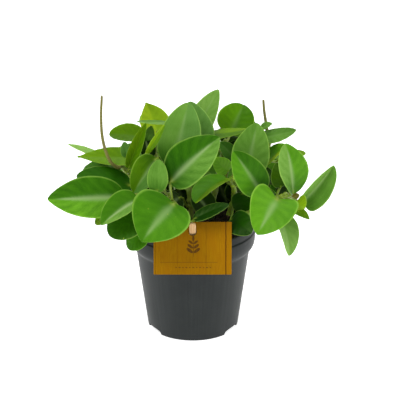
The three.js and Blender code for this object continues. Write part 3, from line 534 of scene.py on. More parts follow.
        # Painted light and shade: each half is made lighter or darker by its lightness, and the blade darker
        # towards its root.
        light = (far_painted_light + (near_painted_light - far_painted_light) * near) * self.rng.uniform(0.93, 1.07)
        light = light * (root + (1 - root) * smoothstep(s, 0.0, 0.5))[..., None]
        light = light ** np.array([1.5, 1.0, 2.0])
        pale = np.array(TONES["stem"])
        joint = np.exp(-((s / 0.06) ** 2) - (a / 0.3) ** 2)[..., None]
        blade_tint = tint * light * (1 - joint) + pale * joint
        n = PETIOLE_RINGS * AROUND + 1
        tints = closed(np.tile(pale, (n, 1)), blade_tint, tint[-1, :1])
        one = np.ones(s.shape)
        top = smoothstep(up, -0.1, 0.1)
        marks = np.stack([one * stripe, top, one * streaks, one * specks], -1)
        marks = closed(np.tile(PLAIN_MARKS, (n, 1)), marks, [stripe, 0.5, streaks, specks])
        around = np.tile((np.cos(THETA) + 1) / 2, PETIOLE_RINGS)
        petiole_uv = np.column_stack([np.repeat(t - 1, AROUND), around])
        uvs = closed(np.vstack([[-1, 0.5], petiole_uv]), np.stack([s, (a + 1) / 2], -1), [1, 0.5])
        shape.add(verts, faces, slots, tints, marks, uvs)


COURSES = {name: Course(points) for name, points in SHOOTS.items()}
leaves = [Leaf(row, order) for order, row in enumerate(LEAVES)]
young = [Leaf(row, YOUNG_SEED + order) for order, row in enumerate(YOUNG_LEAVES)]


# ------------------------------------------------------------------ materials
class Value:
    """A socket of a node tree, which can be reckoned with as a number can."""

    def __init__(self, graph, socket):
        self.graph, self.socket = graph, socket

    def __add__(self, other):
        return self.graph.math("ADD", self, other)

    def __sub__(self, other):
        return self.graph.math("SUBTRACT", self, other)

    def __rsub__(self, other):
        return self.graph.math("SUBTRACT", other, self)

    def __mul__(self, other):
        return self.graph.math("MULTIPLY", self, other)

    def __truediv__(self, other):
        return self.graph.math("DIVIDE", self, other)

    def __pow__(self, other):
        return self.graph.math("POWER", self, other)

    def __abs__(self):
        return self.graph.math("ABSOLUTE", self)


class Graph:
    """A material's node tree, with short calls for the nodes used here."""

    def __init__(self, name, roughness=0.5, specular=0.5):
        self.material = bpy.data.materials.new(name)
        self.material.use_nodes = True
        self.tree = self.material.node_tree
        self.shader = self.tree.nodes["Principled BSDF"]
        self.set(Roughness=roughness, Specular_IOR_Level=specular)

    def put(self, socket, value):
        if isinstance(value, Value):
            value = value.socket
        if isinstance(value, bpy.types.NodeSocket):
            self.tree.links.new(value, socket)
        elif isinstance(value, tuple) and len(value) == 3 and socket.type == "RGBA":
            socket.default_value = (*value, 1)
        else:
            socket.default_value = value

    def node(self, kind, inputs=(), **settings):
        node = self.tree.nodes.new("ShaderNode" + kind)
        for key, value in settings.items():
            setattr(node, key, value)
        for key, value in dict(inputs).items():
            self.put(node.inputs[key], value)
        return node

    def math(self, operation, a, b=0.0):
        return Value(self, self.node("Math", {0: a, 1: b}, operation=operation).outputs[0])

    def step(self, value, low, high, to_low=0.0, to_high=1.0):
        inputs = {"Value": value, "From Min": low, "From Max": high, "To Min": to_low,
                  "To Max": to_high}
        node = self.node("MapRange", inputs, interpolation_type="SMOOTHSTEP")
        return Value(self, node.outputs["Result"])

    def mix(self, share, a, b, blend="MIX"):
        node = self.node("Mix", data_type="RGBA", blend_type=blend)
        for socket, value in ((node.inputs[0], share), (node.inputs[6], a), (node.inputs[7], b)):
            self.put(socket, value)
        return node.outputs[2]

    def noise(self, vector, scale, detail, roughness=0.5, distortion=0.0):
        inputs = {"Vector": vector, "Scale": scale, "Detail": detail, "Roughness": roughness,
                  "Distortion": distortion}
        return Value(self, self.node("TexNoise", inputs).outputs["Fac"])

    def voronoi(self, vector, scale):
        node = self.node("TexVoronoi", {"Vector": vector, "Scale": scale})
        return Value(self, node.outputs["Distance"])

    def scaled(self, vector, scale):
        return self.node("Mapping", {"Vector": vector, "Scale": scale}).outputs[0]

    def place(self):
        return self.node("TexCoord").outputs["Object"]

    def split(self, vector, kind="SeparateXYZ"):
        return [Value(self, output) for output in self.node(kind, {0: vector}).outputs]

    def uv(self, name):
        return self.split(self.node("UVMap", uv_map=name).outputs[0])[:2]

    def vector(self, x, y, z=0.0):
        return self.node("CombineXYZ", {0: x, 1: y, 2: z}).outputs[0]

    def painted(self, name, output="Color"):
        return self.node("Attribute", attribute_name=name).outputs[output]

    def bump(self, height, distance, strength):
        node = self.node("Bump", {"Height": height, "Distance": distance, "Strength": strength})
        self.put(self.shader.inputs["Normal"], node.outputs[0])
        return node.outputs[0]

    def set(self, **inputs):
        for key, value in inputs.items():
            self.put(self.shader.inputs[key.replace("_", " ")], value)


def leaf_material():
    g = Graph("leaf", specular=0.2)
    g.set(Specular_Tint=(0.7, 1.0, 0.35))
    s, v = g.uv("leaf")
    across = v * 2.0 - 1.0
    away = abs(across)
    stripe, top, streaks = g.split(g.painted("marks"), "SeparateColor")
    specks = g.painted("marks", "Alpha")
    where = g.place()

    # Bands that run from the midrib towards the tip, as the side veins do, shifted by a noise.
    drift = g.noise(where, 45.0, 2.0)
    run = s - away * 0.33 + drift * 0.12
    fine = g.noise(g.vector(run * 30.0, away * 3.0, drift), 2.2, 2.0)
    band = g.math("SINE", run * 37.0) * 0.35 + (fine * 2.0 - 1.0)
    band = band * g.step(away, 0.05, 0.4)
    long_veins = g.noise(g.vector(across * 7.0, s * 0.9, drift), 2.4, 2.0)
    long_veins = (1.0 - long_veins * 2.0) * g.math("MINIMUM", streaks, 0.0)
    streak = (band * g.math("MAXIMUM", streaks, 0.0) + long_veins) * 0.32
    cloud = (g.noise(where, 70.0, 3.0) - 0.5) * 0.45
    grain = (g.noise(where, 900.0, 2.0) - 0.5) * 0.18
    light = g.math("MAXIMUM", streak + cloud + grain + 1.0, 0.2)
    color = g.mix(1.0, g.painted("tint"), g.vector(light**1.5, light, light**2.0), "MULTIPLY")

    # The midrib's soft pale stripe, feathered along the side veins.
    wide = g.step(s, 0.0, 1.0, 0.16, 0.07) + (fine - 0.5) * 0.10
    ratio = away / wide
    rib = g.math("EXPONENT", ratio * ratio * -1.0)
    rib = rib * (g.step(s, 0.03, 0.22, 0.5) * g.step(s, 0.97, 0.72)) * stripe * 0.62
    color = g.mix(rib, color, (0.40, 0.56, 0.24))
    # The margin, made paler as painted rim light where light catches and shines through the thin edge, and
    # the underside, which is duller and greyer.
    painted_rim_light = g.mix(1.0, color, (1.9, 1.7, 2.0), "MULTIPLY")
    color = g.mix(g.step(away, 0.90, 0.975) * 0.7, color, g.mix(0.5, painted_rim_light, (0.36, 0.55, 0.10)))
    color = g.mix(top, g.mix(0.25, color, (0.17, 0.34, 0.02)), color)
    # Small pale scars.
    dots = g.step(g.voronoi(where, 150.0), 0.13, 0.06)
    rare = g.step(g.noise(where, 60.0, 1.0), 0.60, 0.66)
    color = g.mix(dots * rare * specks, color, (0.40, 0.48, 0.06))

    rough = g.noise(where, 130.0, 3.0) * 0.22 + 0.27
    g.set(Base_Color=color, Roughness=rough + g.step(top, 1.0, 0.0, 0.0, 0.18))
    normal = g.bump(g.noise(where, 1400.0, 2.0) * 0.35 + band * 0.5, 0.0002, 0.45)

    # Some of the light goes through, yellower than it came.
    passed = g.mix(1.0, color, (1.9, 1.5, 0.55), "MULTIPLY")
    through = g.node("BsdfTranslucent", {"Color": passed, "Normal": normal})
    blend = g.node("MixShader", {0: 0.16, 1: g.shader.outputs[0], 2: through.outputs[0]})
    g.tree.links.new(blend.outputs[0], g.tree.nodes["Material Output"].inputs[0])
    return g.material


def stem_material():
    g = Graph("stem", roughness=0.42)
    where = g.place()
    mottle = g.step(g.noise(where, 160.0, 4.0, 0.6), 0.35, 0.7)
    color = g.mix(mottle * 0.45, g.painted("tint"), (0.13, 0.24, 0.025))
    dots = g.step(g.voronoi(where, 700.0), 0.30, 0.12)
    dots = dots * g.step(g.noise(where, 90.0, 2.0), 0.45, 0.65)
    color = g.mix(dots * 0.5, color, (0.16, 0.10, 0.02))
    g.set(Base_Color=color, Roughness=mottle * 0.2 + 0.34)
    g.bump(g.noise(where, 600.0, 3.0), 0.0003, 0.4)
    return g.material


def spike_material():
    g = Graph("flower_spike", roughness=0.7)
    cells = g.voronoi(g.place(), 1100.0)
    s, _ = g.uv("leaf")
    base = g.mix(g.step(s, 0.05, 0.3), (0.12, 0.15, 0.006), (0.125, 0.115, 0.010))
    g.set(Base_Color=g.mix(g.step(cells, 0.2, 0.7), base, (0.19, 0.18, 0.035)))
    g.bump(cells, 0.0003, 0.7)
    return g.material


def pot_material():
    g = Graph("pot_plastic", roughness=0.4, specular=0.22)
    where = g.place()
    x, y, z = g.split(where)
    # Faint upright streaks from the mould, a dusty cloudiness and a few fine scuffs.
    streak = g.noise(g.vector(g.math("ARCTAN2", y, x) * 6.0, 0.0, z * 3.0), 4.0, 4.0)
    cloud = g.noise(where, 38.0, 4.0, 0.6)
    scuff = g.step(g.noise(g.scaled(where, (1, 1, 9)), 210.0, 4.0, 0.7), 0.62, 0.74)
    dust = g.step(streak * 0.5 + cloud * 0.6, 0.35, 0.8)
    color = g.mix(dust, (0.010, 0.0135, 0.0135), (0.018, 0.022, 0.022))
    color = g.mix(scuff * 0.25, color, (0.11, 0.115, 0.11))
    g.set(Base_Color=color, Roughness=cloud * 0.22 + scuff * 0.12 + 0.36)
    g.bump(g.noise(where, 2600.0, 2.0) * 0.3 + streak * 0.5, 0.00012, 0.5)
    return g.material


def soil_material():
    g = Graph("soil", roughness=0.95, specular=0.25)
    lumps = g.noise(g.place(), 260.0, 6.0, 0.65)
    color = g.mix(g.step(lumps, 0.38, 0.66), (0.008, 0.006, 0.0045), (0.045, 0.028, 0.018))
    g.set(Base_Color=color)
    g.bump(lumps, 0.0012, 0.9)
    return g.material


def crumb_material(name, dark, light):
    g = Graph(name, roughness=0.9, specular=0.3)
    where = g.place()
    g.set(Base_Color=g.mix(g.step(g.noise(where, 420.0, 4.0, 0.6), 0.35, 0.65), dark, light))
    g.bump(g.noise(where, 1500.0, 3.0), 0.0004, 0.8)
    return g.material


def peg_material():
    g = Graph("peg", roughness=0.65, specular=0.35)
    grain = g.noise(g.scaled(g.place(), (1, 0.06, 1)), 900.0, 4.0, 0.6)
    g.set(Base_Color=g.mix(g.step(grain, 0.35, 0.7), (0.50, 0.29, 0.12), (0.72, 0.49, 0.26)))
    g.bump(grain, 0.0002, 0.6)
    return g.material


# The seams between the card's planks: where across the card, half their width, and how dark.
SEAMS = ((0.02, 0.008, 0.55), (0.303, 0.005, 0.35), (0.672, 0.006, 0.45), (0.925, 0.012, 0.85))


def card_material():
    """Golden-brown planks with a printed sprig, a rule and a row of diamonds."""
    g = Graph("card", roughness=0.55, specular=0.04)
    u, v = g.uv("card")
    grain = g.noise(g.vector(u * 60.0, v * 3.0), 1.6, 5.0, 0.65, 0.6)
    broad = g.noise(g.vector(u * 9.0, v * 1.2), 1.0, 3.0)
    color = g.mix(g.step(grain, 0.3, 0.72), (0.345, 0.165, 0.001), (0.25, 0.108, 0.001))
    color = g.mix(g.step(broad, 0.35, 0.75), color, (0.31, 0.132, 0.001))
    color = g.mix(g.step(v, 0.55, 1.05, 0.0, 0.45), color, (0.12, 0.052, 0.001))
    at = u + (g.noise(g.vector(0.0, v * 4.0), 2.0, 3.0) - 0.5) * 0.012
    for seam, half, depth in SEAMS:
        line = g.step(abs(at - seam), half, half * 0.2) * depth
        color = g.mix(line, color, (0.06, 0.022, 0.002))
    ink = print_mask(g, u * CARD_WIDTH, v * CARD_HEIGHT) * g.step(grain, 0.75, 0.3, 0.55, 0.9)
    g.set(Base_Color=g.mix(ink, color, (0.055, 0.024, 0.008)))
    g.bump(grain, 0.00008, 0.4)
    return g.material


# The printed rule's two ends, its height and half its thickness, the sprig's middle, and how far
# its leaflets lean from the upright, with each pair's height on the sprig.
RULE = (6.0, 60.0, 11.5, 0.22)
SPRIG_HEIGHT, LEAFLET_LEAN, PAIRS = 25.5, 52, (-5.5, -1.2, 3.0)


def print_mask(g, x, y):
    """Where the card is printed: a sprig of leaves, a thin rule and a row of small diamonds."""
    spot = g.vector(x, y)

    def oval(middle_x, middle_y, length, width, angle):
        inputs = {"Vector": spot, "Location": (middle_x, middle_y, 0),
                  "Rotation": (0, 0, math.radians(angle)), "Scale": (length / 2, width / 2, 1)}
        ball = g.node("Mapping", inputs, vector_type="TEXTURE").outputs[0]
        ball = g.node("TexGradient", {"Vector": ball}, gradient_type="SPHERICAL").outputs["Fac"]
        return g.step(ball, 0.0, 0.12)

    left, right, height, half = RULE
    total = g.step(abs(y - height), half, half * 0.5)
    for edge, sign in ((left, 1), (right, -1)):
        total = total * g.step((x - edge) * sign, 0.0, 0.3)
    cx, cy = CARD_WIDTH / 2 + 0.6, SPRIG_HEIGHT
    masks = [oval(cx, cy - 1.0, 0.7, 18.0, 0), oval(cx, cy + 8.4, 5.4, 2.5, 90)]
    lean = math.radians(LEAFLET_LEAN)
    for k, rise in enumerate(PAIRS):
        size = 7.6 - 1.1 * k
        reach = size * 0.56
        masks += [oval(cx + sign * reach * math.sin(lean), cy + rise + reach * math.cos(lean),
                       size, size * 0.42, 90 - sign * LEAFLET_LEAN) for sign in (1, -1)]
    masks += [oval(cx + 3.2 * k, 6.6, 1.5 if k % 2 else 2.2, 0.9, 0) for k in range(-5, 6)]
    for mask in masks:
        total = g.math("MAXIMUM", total, mask)
    return total


# ------------------------------------------------------------------ the plant
PLANT_LOOKS = [leaf_material(), stem_material()]
STEM_RINGS, STEM_AROUND = 90, 20
STEM_SEED = 500
SPARE_KNOTS = (0.18, 0.9, 0.17)  # the first, an end and the step, as shares of a stem's length
KNOT_HEIGHT, KNOT_WIDTH = 0.45, 1.8
DIP_DEPTH, DIP_WIDTH, DIP_AWAY = 0.15, 2.0, 3.6  # just above each knot
PAINTED_LIGHT_SHOOTS = {"right_low": 2.6}  # painted light: how much lighter than the others a shoot is painted, against the shade it stands in

for leaf in leaves:
    shape = Shape()
    leaf.add_to(shape)
    shape.build("blade_" + leaf.name, PLANT_LOOKS, "leaf_" + leaf.name, "leaf_" + leaf.tone)


def stem_shape(name, course):
    """A fleshy stem, a little thicker where each petiole grows out, and its young leaves."""
    rng = np.random.default_rng(STEM_SEED + len(name))
    share = np.linspace(0, 1, STEM_RINGS)
    radii = FOOT_RADIUS + (TIP_RADIUS - FOOT_RADIUS) * share
    knots = [leaf.share for leaf in leaves + young if leaf.shoot == name]
    knots += list(np.arange(*SPARE_KNOTS) + rng.uniform(-0.04, 0.04))
    for knot in knots:
        away = (share - knot) * course.length
        radii = radii + KNOT_HEIGHT * bell(away, KNOT_WIDTH)
        radii = radii - DIP_DEPTH * bell(away - DIP_AWAY, DIP_WIDTH)
    centres = course.at(share)
    rings = tube_rings(centres, radii, STEM_AROUND, np.array([0.3, -1.0, 0.1]))
    rise = course.tangent(1.0) * TIP_RADIUS
    cap = [centres[-1] + (rings[-1] - centres[-1]) * k + rise * h
           for k, h in ((0.85, 0.45), (0.5, 0.8))]
    rings = np.vstack([rings, cap])
    n = len(rings)
    foot, top = np.array(TONES["foot"]), np.array(TONES["stem"])
    climb = np.clip(np.arange(n) / (n - 1) * 1.3, 0, 1)[:, None]
    # Painted light on a shoot that stands in shade.
    tint = (foot * (1 - climb) + top * climb) * PAINTED_LIGHT_SHOOTS.get(name, 1.0)
    shape = Shape()
    shape.add(closed(centres[:1], rings, centres[-1:] + rise * 0.9), ring_faces(n, STEM_AROUND),
              STEM_MATERIAL, np.vstack([foot, np.repeat(tint, STEM_AROUND, axis=0), top]),
              PLAIN_MARKS, tube_uvs(np.linspace(0, 1, n), STEM_AROUND))
    for leaf in young:
        if leaf.shoot == name:
            leaf.add_to(shape)
    return shape


for name, course in COURSES.items():
    stem_shape(name, course).build("shoot_" + name, PLANT_LOOKS, "stem_" + name, "stem")

SPIKE_RINGS, SPIKE_AROUND = 240, 14
SPIKE_TINT = [0.2, 0.2, 0.05]
SPIKE_RADIUS, SPIKE_TAPER, SPIKE_NECK = 1.75, 0.65, 0.25
KNOB_HEIGHT, KNOBS_AROUND = 0.07, 5


def spike_shape(course):
    """A thin tapered spike, knobbly all over but for its bare foot."""
    share = np.linspace(0, 1, SPIKE_RINGS)
    radii = SPIKE_RADIUS - SPIKE_TAPER * share - SPIKE_NECK * np.exp(-share / 0.05)
    radii *= 1 - 0.75 * smoothstep(share, 0.985, 1.0)
    axis = course.at(share)
    tube = tube_rings(axis, radii, SPIKE_AROUND, np.array([0.2, -1.0, 0.3]))
    ring = np.arange(SPIKE_RINGS)[:, None]
    turn = np.arange(SPIKE_AROUND) * 2 * np.pi / SPIKE_AROUND
    knob = np.sin(ring * 2.1) * np.cos(turn * KNOBS_AROUND + (ring % 2) * np.pi)
    swell = KNOB_HEIGHT * knob * smoothstep(share, 0.12, 0.2)[:, None]
    tube = tube + (tube - axis[:, None]) * swell[..., None]
    shape = Shape()
    shape.add(closed(axis[:1], tube, axis[-1:]), ring_faces(SPIKE_RINGS, SPIKE_AROUND), 0,
              SPIKE_TINT, PLAIN_MARKS, tube_uvs(share, SPIKE_AROUND))
    return shape


spike_look = spike_material()
for name, points in SPIKES.items():
    spike_shape(Course(points)).build(name + "_bloom", [spike_look], name, "flower_spike")


# ------------------------------------------------------------------ pot
POT_SECTION = [
    [0, 5], [41.5, 5], [41.9, 4.6], [42.3, 0.5], [42.7, 0], [43.9, 0], [44.6, 0.4], [45.0, 1.4],
    [55.5, 79.8], [55.7, 81.0], [56.2, 82.1], [57.2, 83.4], [58.5, 84.8], [59.6, 86.4], [60.4, 88.6],
    [60.9, 91.5], [61.05, 94.5], [61.15, 99.9], [61.05, 100.5], [60.7, 101.0], [60.35, 101.5],
    [60.2, 102.3], [60.2, 107.6], [60.05, 108.5], [59.7, 109.1], [59.3, 109.3], [58.9, 109.1],
    [58.6, 108.5], [58.4, 107.4], [58.4, 89.4], [57.3, 86], [55.2, 82.5], [54.1, 79.5], [44.4, 8],
    [43.7, 6.8], [43.0, 6.4], [0, 6.4],
]
NOTCHES = (-30, 90, 210)
NOTCH_WIDTH, NOTCH_HEIGHT, NOTCH_RING = 25.0, 4.7, 44.0
NOTCH_DEPTH, NOTCH_POWER = 14, 3.5  # the cutter's length, and how square it is
DRAINS, DRAIN_RADIUS, DRAIN_RING, DRAIN_MIDDLE, DRAIN_DEPTH = 8, 4.0, 27.0, 5.7, 5
POT_SIDES = 216


def lathe(section, sides, warp):
    """A closed body turned from a section whose ends lie on the axis; warp moves its points."""
    section = np.array(section, float)
    angle = np.arange(sides) * 2 * np.pi / sides
    r, z = section[1:-1, 0], section[1:-1, 1]
    x, y = np.outer(r, np.cos(angle)), np.outer(r, np.sin(angle))
    points = warp(np.stack([x, y, np.broadcast_to(z[:, None], x.shape)], -1))
    verts = closed([0, 0, section[0, 1]], points, [0, 0, section[-1, 1]])
    return verts, ring_faces(len(r), sides)


def mesh_object(name, verts, faces, material):
    mesh = bpy.data.meshes.new(name)
    mesh.from_pydata((np.asarray(verts) * MM).tolist(), [], faces)
    mesh.materials.append(material)
    mesh.polygons.foreach_set("use_smooth", np.full(len(mesh.polygons), True))
    mesh.update()
    return bpy.data.objects.new(name, mesh)


def evaluated_mesh(obj):
    """A mesh of what a linked object's modifiers or outlines make."""
    graph = bpy.context.evaluated_depsgraph_get()
    return bpy.data.meshes.new_from_object(obj.evaluated_get(graph))


def cut(obj, cutters):
    """Takes the cutters' volumes out of an object's mesh for good."""
    scene = bpy.context.scene.collection
    scene.objects.link(obj)
    for cutter in cutters:
        scene.objects.link(cutter)
        boolean = obj.modifiers.new("cut", "BOOLEAN")
        boolean.operation, boolean.solver, boolean.object = "DIFFERENCE", "EXACT", cutter
    bpy.context.view_layer.update()
    whole = evaluated_mesh(obj)
    obj.modifiers.clear()
    obj.data = whole
    for cutter in cutters:
        bpy.data.objects.remove(cutter)
    scene.objects.unlink(obj)


def cylinder(radius, depth, matrix, sides=40, power=2.0):
    """A cutter with a round section, or with a power above 2 a squarer one."""
    mesh = bpy.data.meshes.new("cutter")
    body = bmesh.new()
    bmesh.ops.create_cone(body, cap_ends=True, segments=sides, radius1=radius * MM,
                          radius2=radius * MM, depth=depth * MM)
    for vert in body.verts:
        x, y = abs(vert.co.x) / (radius * MM), abs(vert.co.y) / (radius * MM)
        share = (x ** power + y ** power) ** (-1 / power)
        vert.co.x, vert.co.y = vert.co.x * share, vert.co.y * share
    bmesh.ops.transform(body, matrix=matrix, verts=body.verts)
    body.to_mesh(mesh)
    body.free()
    return bpy.data.objects.new("cutter", mesh)


def on_ring(ring, turn, height=0.0):
    """The move from the origin to a place on a ring around the pot's axis."""
    return Matrix.Translation((ring * MM * math.cos(turn), ring * MM * math.sin(turn), height * MM))


def pot_warp(points):
    """A moulded pot is never quite round: the rim waves a little."""
    x, y, z = points[..., 0], points[..., 1], points[..., 2]
    turn = np.arctan2(y, x)
    high = smoothstep(z, 70, 109)
    wave = 0.0022 * np.sin(3 * turn + 0.7) + 0.0012 * np.sin(7 * turn + 2.0)
    grow = 1 + high * wave - 0.0012 * high
    lift = high * 0.22 * np.sin(2 * turn + 1.1) - 0.1 * high
    return np.stack([x * grow, y * grow, z + lift], -1)


pot = mesh_object("pot_shell", *lathe(POT_SECTION, POT_SIDES, pot_warp), pot_material())
cutters = []
for k in range(DRAINS):
    spot = on_ring(DRAIN_RING, 2 * math.pi * k / DRAINS, DRAIN_MIDDLE)
    cutters.append(cylinder(DRAIN_RADIUS, DRAIN_DEPTH, spot))
squeeze = Matrix.Diagonal((2 * NOTCH_HEIGHT / NOTCH_WIDTH, 1, 1, 1))
for turn in map(math.radians, NOTCHES):
    spot = on_ring(NOTCH_RING, turn)
    lay = Matrix.Rotation(turn, 4, "Z") @ Matrix.Rotation(math.pi / 2, 4, "Y") @ squeeze
    cutters.append(cylinder(NOTCH_WIDTH / 2, NOTCH_DEPTH, spot @ lay, 64, NOTCH_POWER))
cut(pot, cutters)
place(pot, "pot_plastic", "pot")
pot.data.set_sharp_from_angle(angle=math.radians(40))


# ------------------------------------------------------------------ soil
SOIL_RADIUS, SOIL_EDGE, SOIL_CROWN, SOIL_SWELL = 58.2, 99.6, 2.8, 1.1
SOIL_SIDES, SOIL_RINGS = 240, 70
SURFACE = 94  # above this height the soil's points lie on its rough top


def soil_height(x, y):
    """The soil's top, with the same slow swells as the CAD's."""
    away = np.clip(1 - np.hypot(x, y) / SOIL_RADIUS, 0, 1)
    swell = np.sin(x * 0.31 + 1.7) * np.cos(y * 0.27) + np.sin((x - y) * 0.19)
    return SOIL_EDGE + SOIL_CROWN * away + SOIL_SWELL * np.minimum(1, 4 * away) * swell


def soil_warp(points):
    x, y, z = points[..., 0], points[..., 1], points[..., 2].copy()
    top = z > SURFACE
    rough = np.array([noise.fractal(Vector((px * 0.35, py * 0.35, 3.0)), 0.8, 2.2, 4)
                      for px, py in zip(x[top], y[top])])
    z[top] = soil_height(x[top], y[top]) + 0.8 * rough
    return np.stack([x, y, z], -1)


soil_section = [[0, 80], [53.9, 80], [57.0, 88], [58.2, 92]]
soil_section += [[SOIL_RADIUS * k, 98] for k in np.linspace(1, 0.012, SOIL_RINGS)]
soil_section.append([0, 103.5])
soil = mesh_object("soil_bed", *lathe(soil_section, SOIL_SIDES, soil_warp), soil_material())
place(soil, "soil", "soil")


def crumbs(name, count, low, high, flat, seed, material):
    """Small irregular lumps, scattered over the soil."""
    rng = np.random.default_rng(seed)
    ball = bmesh.new()
    bmesh.ops.create_icosphere(ball, subdivisions=2, radius=1.0)
    ball.verts.ensure_lookup_table()
    base = np.array([v.co for v in ball.verts])
    corners = [tuple(v.index for v in f.verts) for f in ball.faces]
    ball.free()
    verts, faces = [], []
    for _ in range(count):
        radius = (SOIL_RADIUS - 2) * math.sqrt(rng.uniform())
        turn = rng.uniform(0, 2 * math.pi)
        x, y = radius * math.cos(turn), radius * math.sin(turn)
        size = rng.uniform(low, high) * np.array([1, rng.uniform(0.6, 1.0), rng.uniform(flat, 1.0)])
        bumps = 1 + 0.25 * np.sin(base @ rng.uniform(-4, 4, (3, 3)) + rng.uniform(0, 6, 3)).sum(1) / 2
        lump = base * bumps[:, None] * size
        spin = np.array(Matrix.Rotation(rng.uniform(0, 6.28), 3, rng.uniform(-1, 1, 3).tolist()))
        lump = lump @ spin.T + [x, y, float(soil_height(x, y)) + 0.3 * size[2]]
        faces += [tuple(k + len(base) * len(verts) for k in f) for f in corners]
        verts.append(lump)
    return place(mesh_object(name, np.vstack(verts), faces, material), "soil")


crumb_look = crumb_material("crumb", (0.012, 0.008, 0.006), (0.06, 0.036, 0.022))
chip_look = crumb_material("chip", (0.16, 0.10, 0.055), (0.34, 0.25, 0.15))
crumbs("soil_crumbs", 420, 0.6, 1.9, 0.5, 3, crumb_look)
crumbs("soil_chips", 46, 0.7, 1.7, 0.3, 5, chip_look)


# ------------------------------------------------------------------ label card and peg
CARD_WIDTH, CARD_HEIGHT, CARD_THICKNESS, CARD_X, CARD_TOP = 73.0, 49.4, 0.8, 0.1, 129.0
CARD_LEAN, CARD_CORNER, CARD_BEVEL = math.radians(17.7), 0.7, 0.12
HOLE_RADIUS, HOLE_DROP, HOLE_SIDES = 3.75, 9.3, 48
REST_RADIUS, REST_HEIGHT = 60.7, 108.6  # where the card's back meets the rim
PEG_WIDTH, PEG_THICKNESS, PEG_SLOPE, PEG_ABOVE, PEG_BELOW = 6.0, 1.8, 62.3, 12.0, 50.0
# The peg's sharpened end's length, half its tip's width, its cut corners and its soft edges.
PEG_POINT, PEG_TIP, PEG_CORNER, PEG_BEVEL = 9, 0.8, 1.2, 0.3
hole_z = CARD_TOP - HOLE_DROP * math.cos(CARD_LEAN)
hole_y = (hole_z - REST_HEIGHT) * math.tan(CARD_LEAN) - REST_RADIUS
hole = Matrix.Translation(Vector((CARD_X, hole_y, hole_z)) * MM)


def plate(name, loops, thickness, bevel, material):
    """A flat plate with soft edges, from closed outlines in millimetres."""
    curve = bpy.data.curves.new(name, "CURVE")
    curve.dimensions, curve.fill_mode, curve.bevel_resolution = "2D", "BOTH", 2
    curve.extrude, curve.bevel_depth = (thickness / 2 - bevel) * MM, bevel * MM
    curve.offset = -bevel * MM
    for loop in loops:
        spline = curve.splines.new("POLY")
        spline.points.add(len(loop) - 1)
        for point, (x, y) in zip(spline.points, loop):
            point.co = (x * MM, y * MM, 0, 1)
        spline.use_cyclic_u = True
    obj = bpy.data.objects.new(name, curve)
    bpy.context.scene.collection.objects.link(obj)
    mesh = evaluated_mesh(obj)
    bpy.data.objects.remove(obj)
    mesh.materials.clear()
    mesh.materials.append(material)
    return mesh


def rounded_box(x0, x1, y0, y1, radius, steps=6):
    loop = []
    for cx, cy, start in ((x1 - radius, y1 - radius, 0), (x0 + radius, y1 - radius, 90),
                          (x0 + radius, y0 + radius, 180), (x1 - radius, y0 + radius, 270)):
        for k in range(steps + 1):
            turn = math.radians(start + 90 * k / steps)
            loop.append((cx + radius * math.cos(turn), cy + radius * math.sin(turn)))
    return loop


card_loop = rounded_box(-CARD_WIDTH / 2, CARD_WIDTH / 2, HOLE_DROP - CARD_HEIGHT, HOLE_DROP,
                        CARD_CORNER)
hole_loop = [(HOLE_RADIUS * math.cos(a), -HOLE_RADIUS * math.sin(a))
             for a in np.linspace(0, 2 * math.pi, HOLE_SIDES, False)]
card_mesh = plate("card", [card_loop, hole_loop], CARD_THICKNESS, CARD_BEVEL, card_material())
while card_mesh.uv_layers:
    card_mesh.uv_layers.remove(card_mesh.uv_layers[0])
flat = np.array([vert.co[:2] for vert in card_mesh.vertices]) / MM
across, up = flat[:, 0] / CARD_WIDTH + 0.5, (flat[:, 1] - HOLE_DROP) / CARD_HEIGHT + 1
set_uv(card_mesh, "card", np.column_stack([across, up]))
forward = Matrix.Translation((0, 0, CARD_THICKNESS / 2 * MM))
card_mesh.transform(hole @ Matrix.Rotation(math.pi / 2 - CARD_LEAN, 4, "X") @ forward)
place(bpy.data.objects.new("printed_card", card_mesh), "card", "label_card")

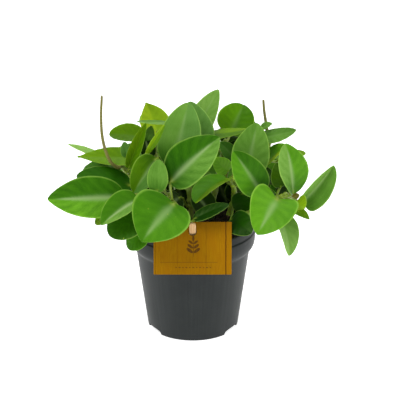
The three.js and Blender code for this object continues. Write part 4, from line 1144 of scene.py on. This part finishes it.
half = PEG_WIDTH / 2
right = [(PEG_TIP, -PEG_BELOW), (half, PEG_POINT - PEG_BELOW), (half, PEG_ABOVE - PEG_CORNER),
         (half - PEG_CORNER, PEG_ABOVE)]
peg_loop = right + [(-x, y) for x, y in reversed(right)]
peg_mesh = plate("peg", [peg_loop], PEG_THICKNESS, PEG_BEVEL, peg_material())
peg = bpy.data.objects.new("wooden_peg", peg_mesh)
peg.matrix_world = hole @ Matrix.Rotation(math.radians(180 - PEG_SLOPE), 4, "X")
place(peg, "peg", "label_peg")


# ------------------------------------------------------------------ stage, lights and camera
FLOOR_REACH = 40.0  # metres
floor_look = Graph("floor", roughness=0.9, specular=0.2)
floor_look.set(Base_Color=(0.8, 0.8, 0.8), Emission_Color=(1, 1, 1), Emission_Strength=0.8)
floor_mesh = bpy.data.meshes.new("floor")
corners = [(x * FLOOR_REACH, y * FLOOR_REACH, 0) for x, y in ((-1, -1), (1, -1), (1, 1), (-1, 1))]
floor_mesh.from_pydata(corners, [], [(0, 1, 2, 3)])
floor_mesh.materials.append(floor_look.material)
floor = bpy.data.objects.new("floor", floor_mesh)
bpy.context.scene.collection.objects.link(floor)

world = bpy.data.worlds.new("studio")
world.use_nodes = True
background = world.node_tree.nodes["Background"]
background.inputs["Color"].default_value = (1, 1, 1, 1)
background.inputs["Strength"].default_value = 0.42
bpy.context.scene.world = world


def aim(obj, spot, target):
    """Links a lamp or the camera at a spot, in metres, turned to a target."""
    bpy.context.scene.collection.objects.link(obj)
    obj.location = spot
    obj.rotation_euler = (Vector(target) - Vector(spot)).to_track_quat("-Z", "Y").to_euler()


def softbox(name, spot, size, power):
    light = bpy.data.lights.new(name, "AREA")
    light.shape, light.size, light.energy = "SQUARE", size, power
    aim(bpy.data.objects.new(name, light), spot, (0, 0, 0.12))


softbox("key", (-0.7, -0.9, 1.7), 0.9, 18)
softbox("fill", (1.3, -0.5, 0.9), 1.0, 6)
softbox("top", (0.1, 0.5, 1.9), 1.2, 13)

camera = bpy.data.objects.new("camera", bpy.data.cameras.new("camera"))
camera.data.sensor_width = 36.0
camera.data.lens = 120.5
aim(camera, (0.0070, -1.2137, 0.5959), (0.0070, 0.0, 0.130))
bpy.context.scene.camera = camera
bpy.context.scene.view_settings.view_transform = "Standard"
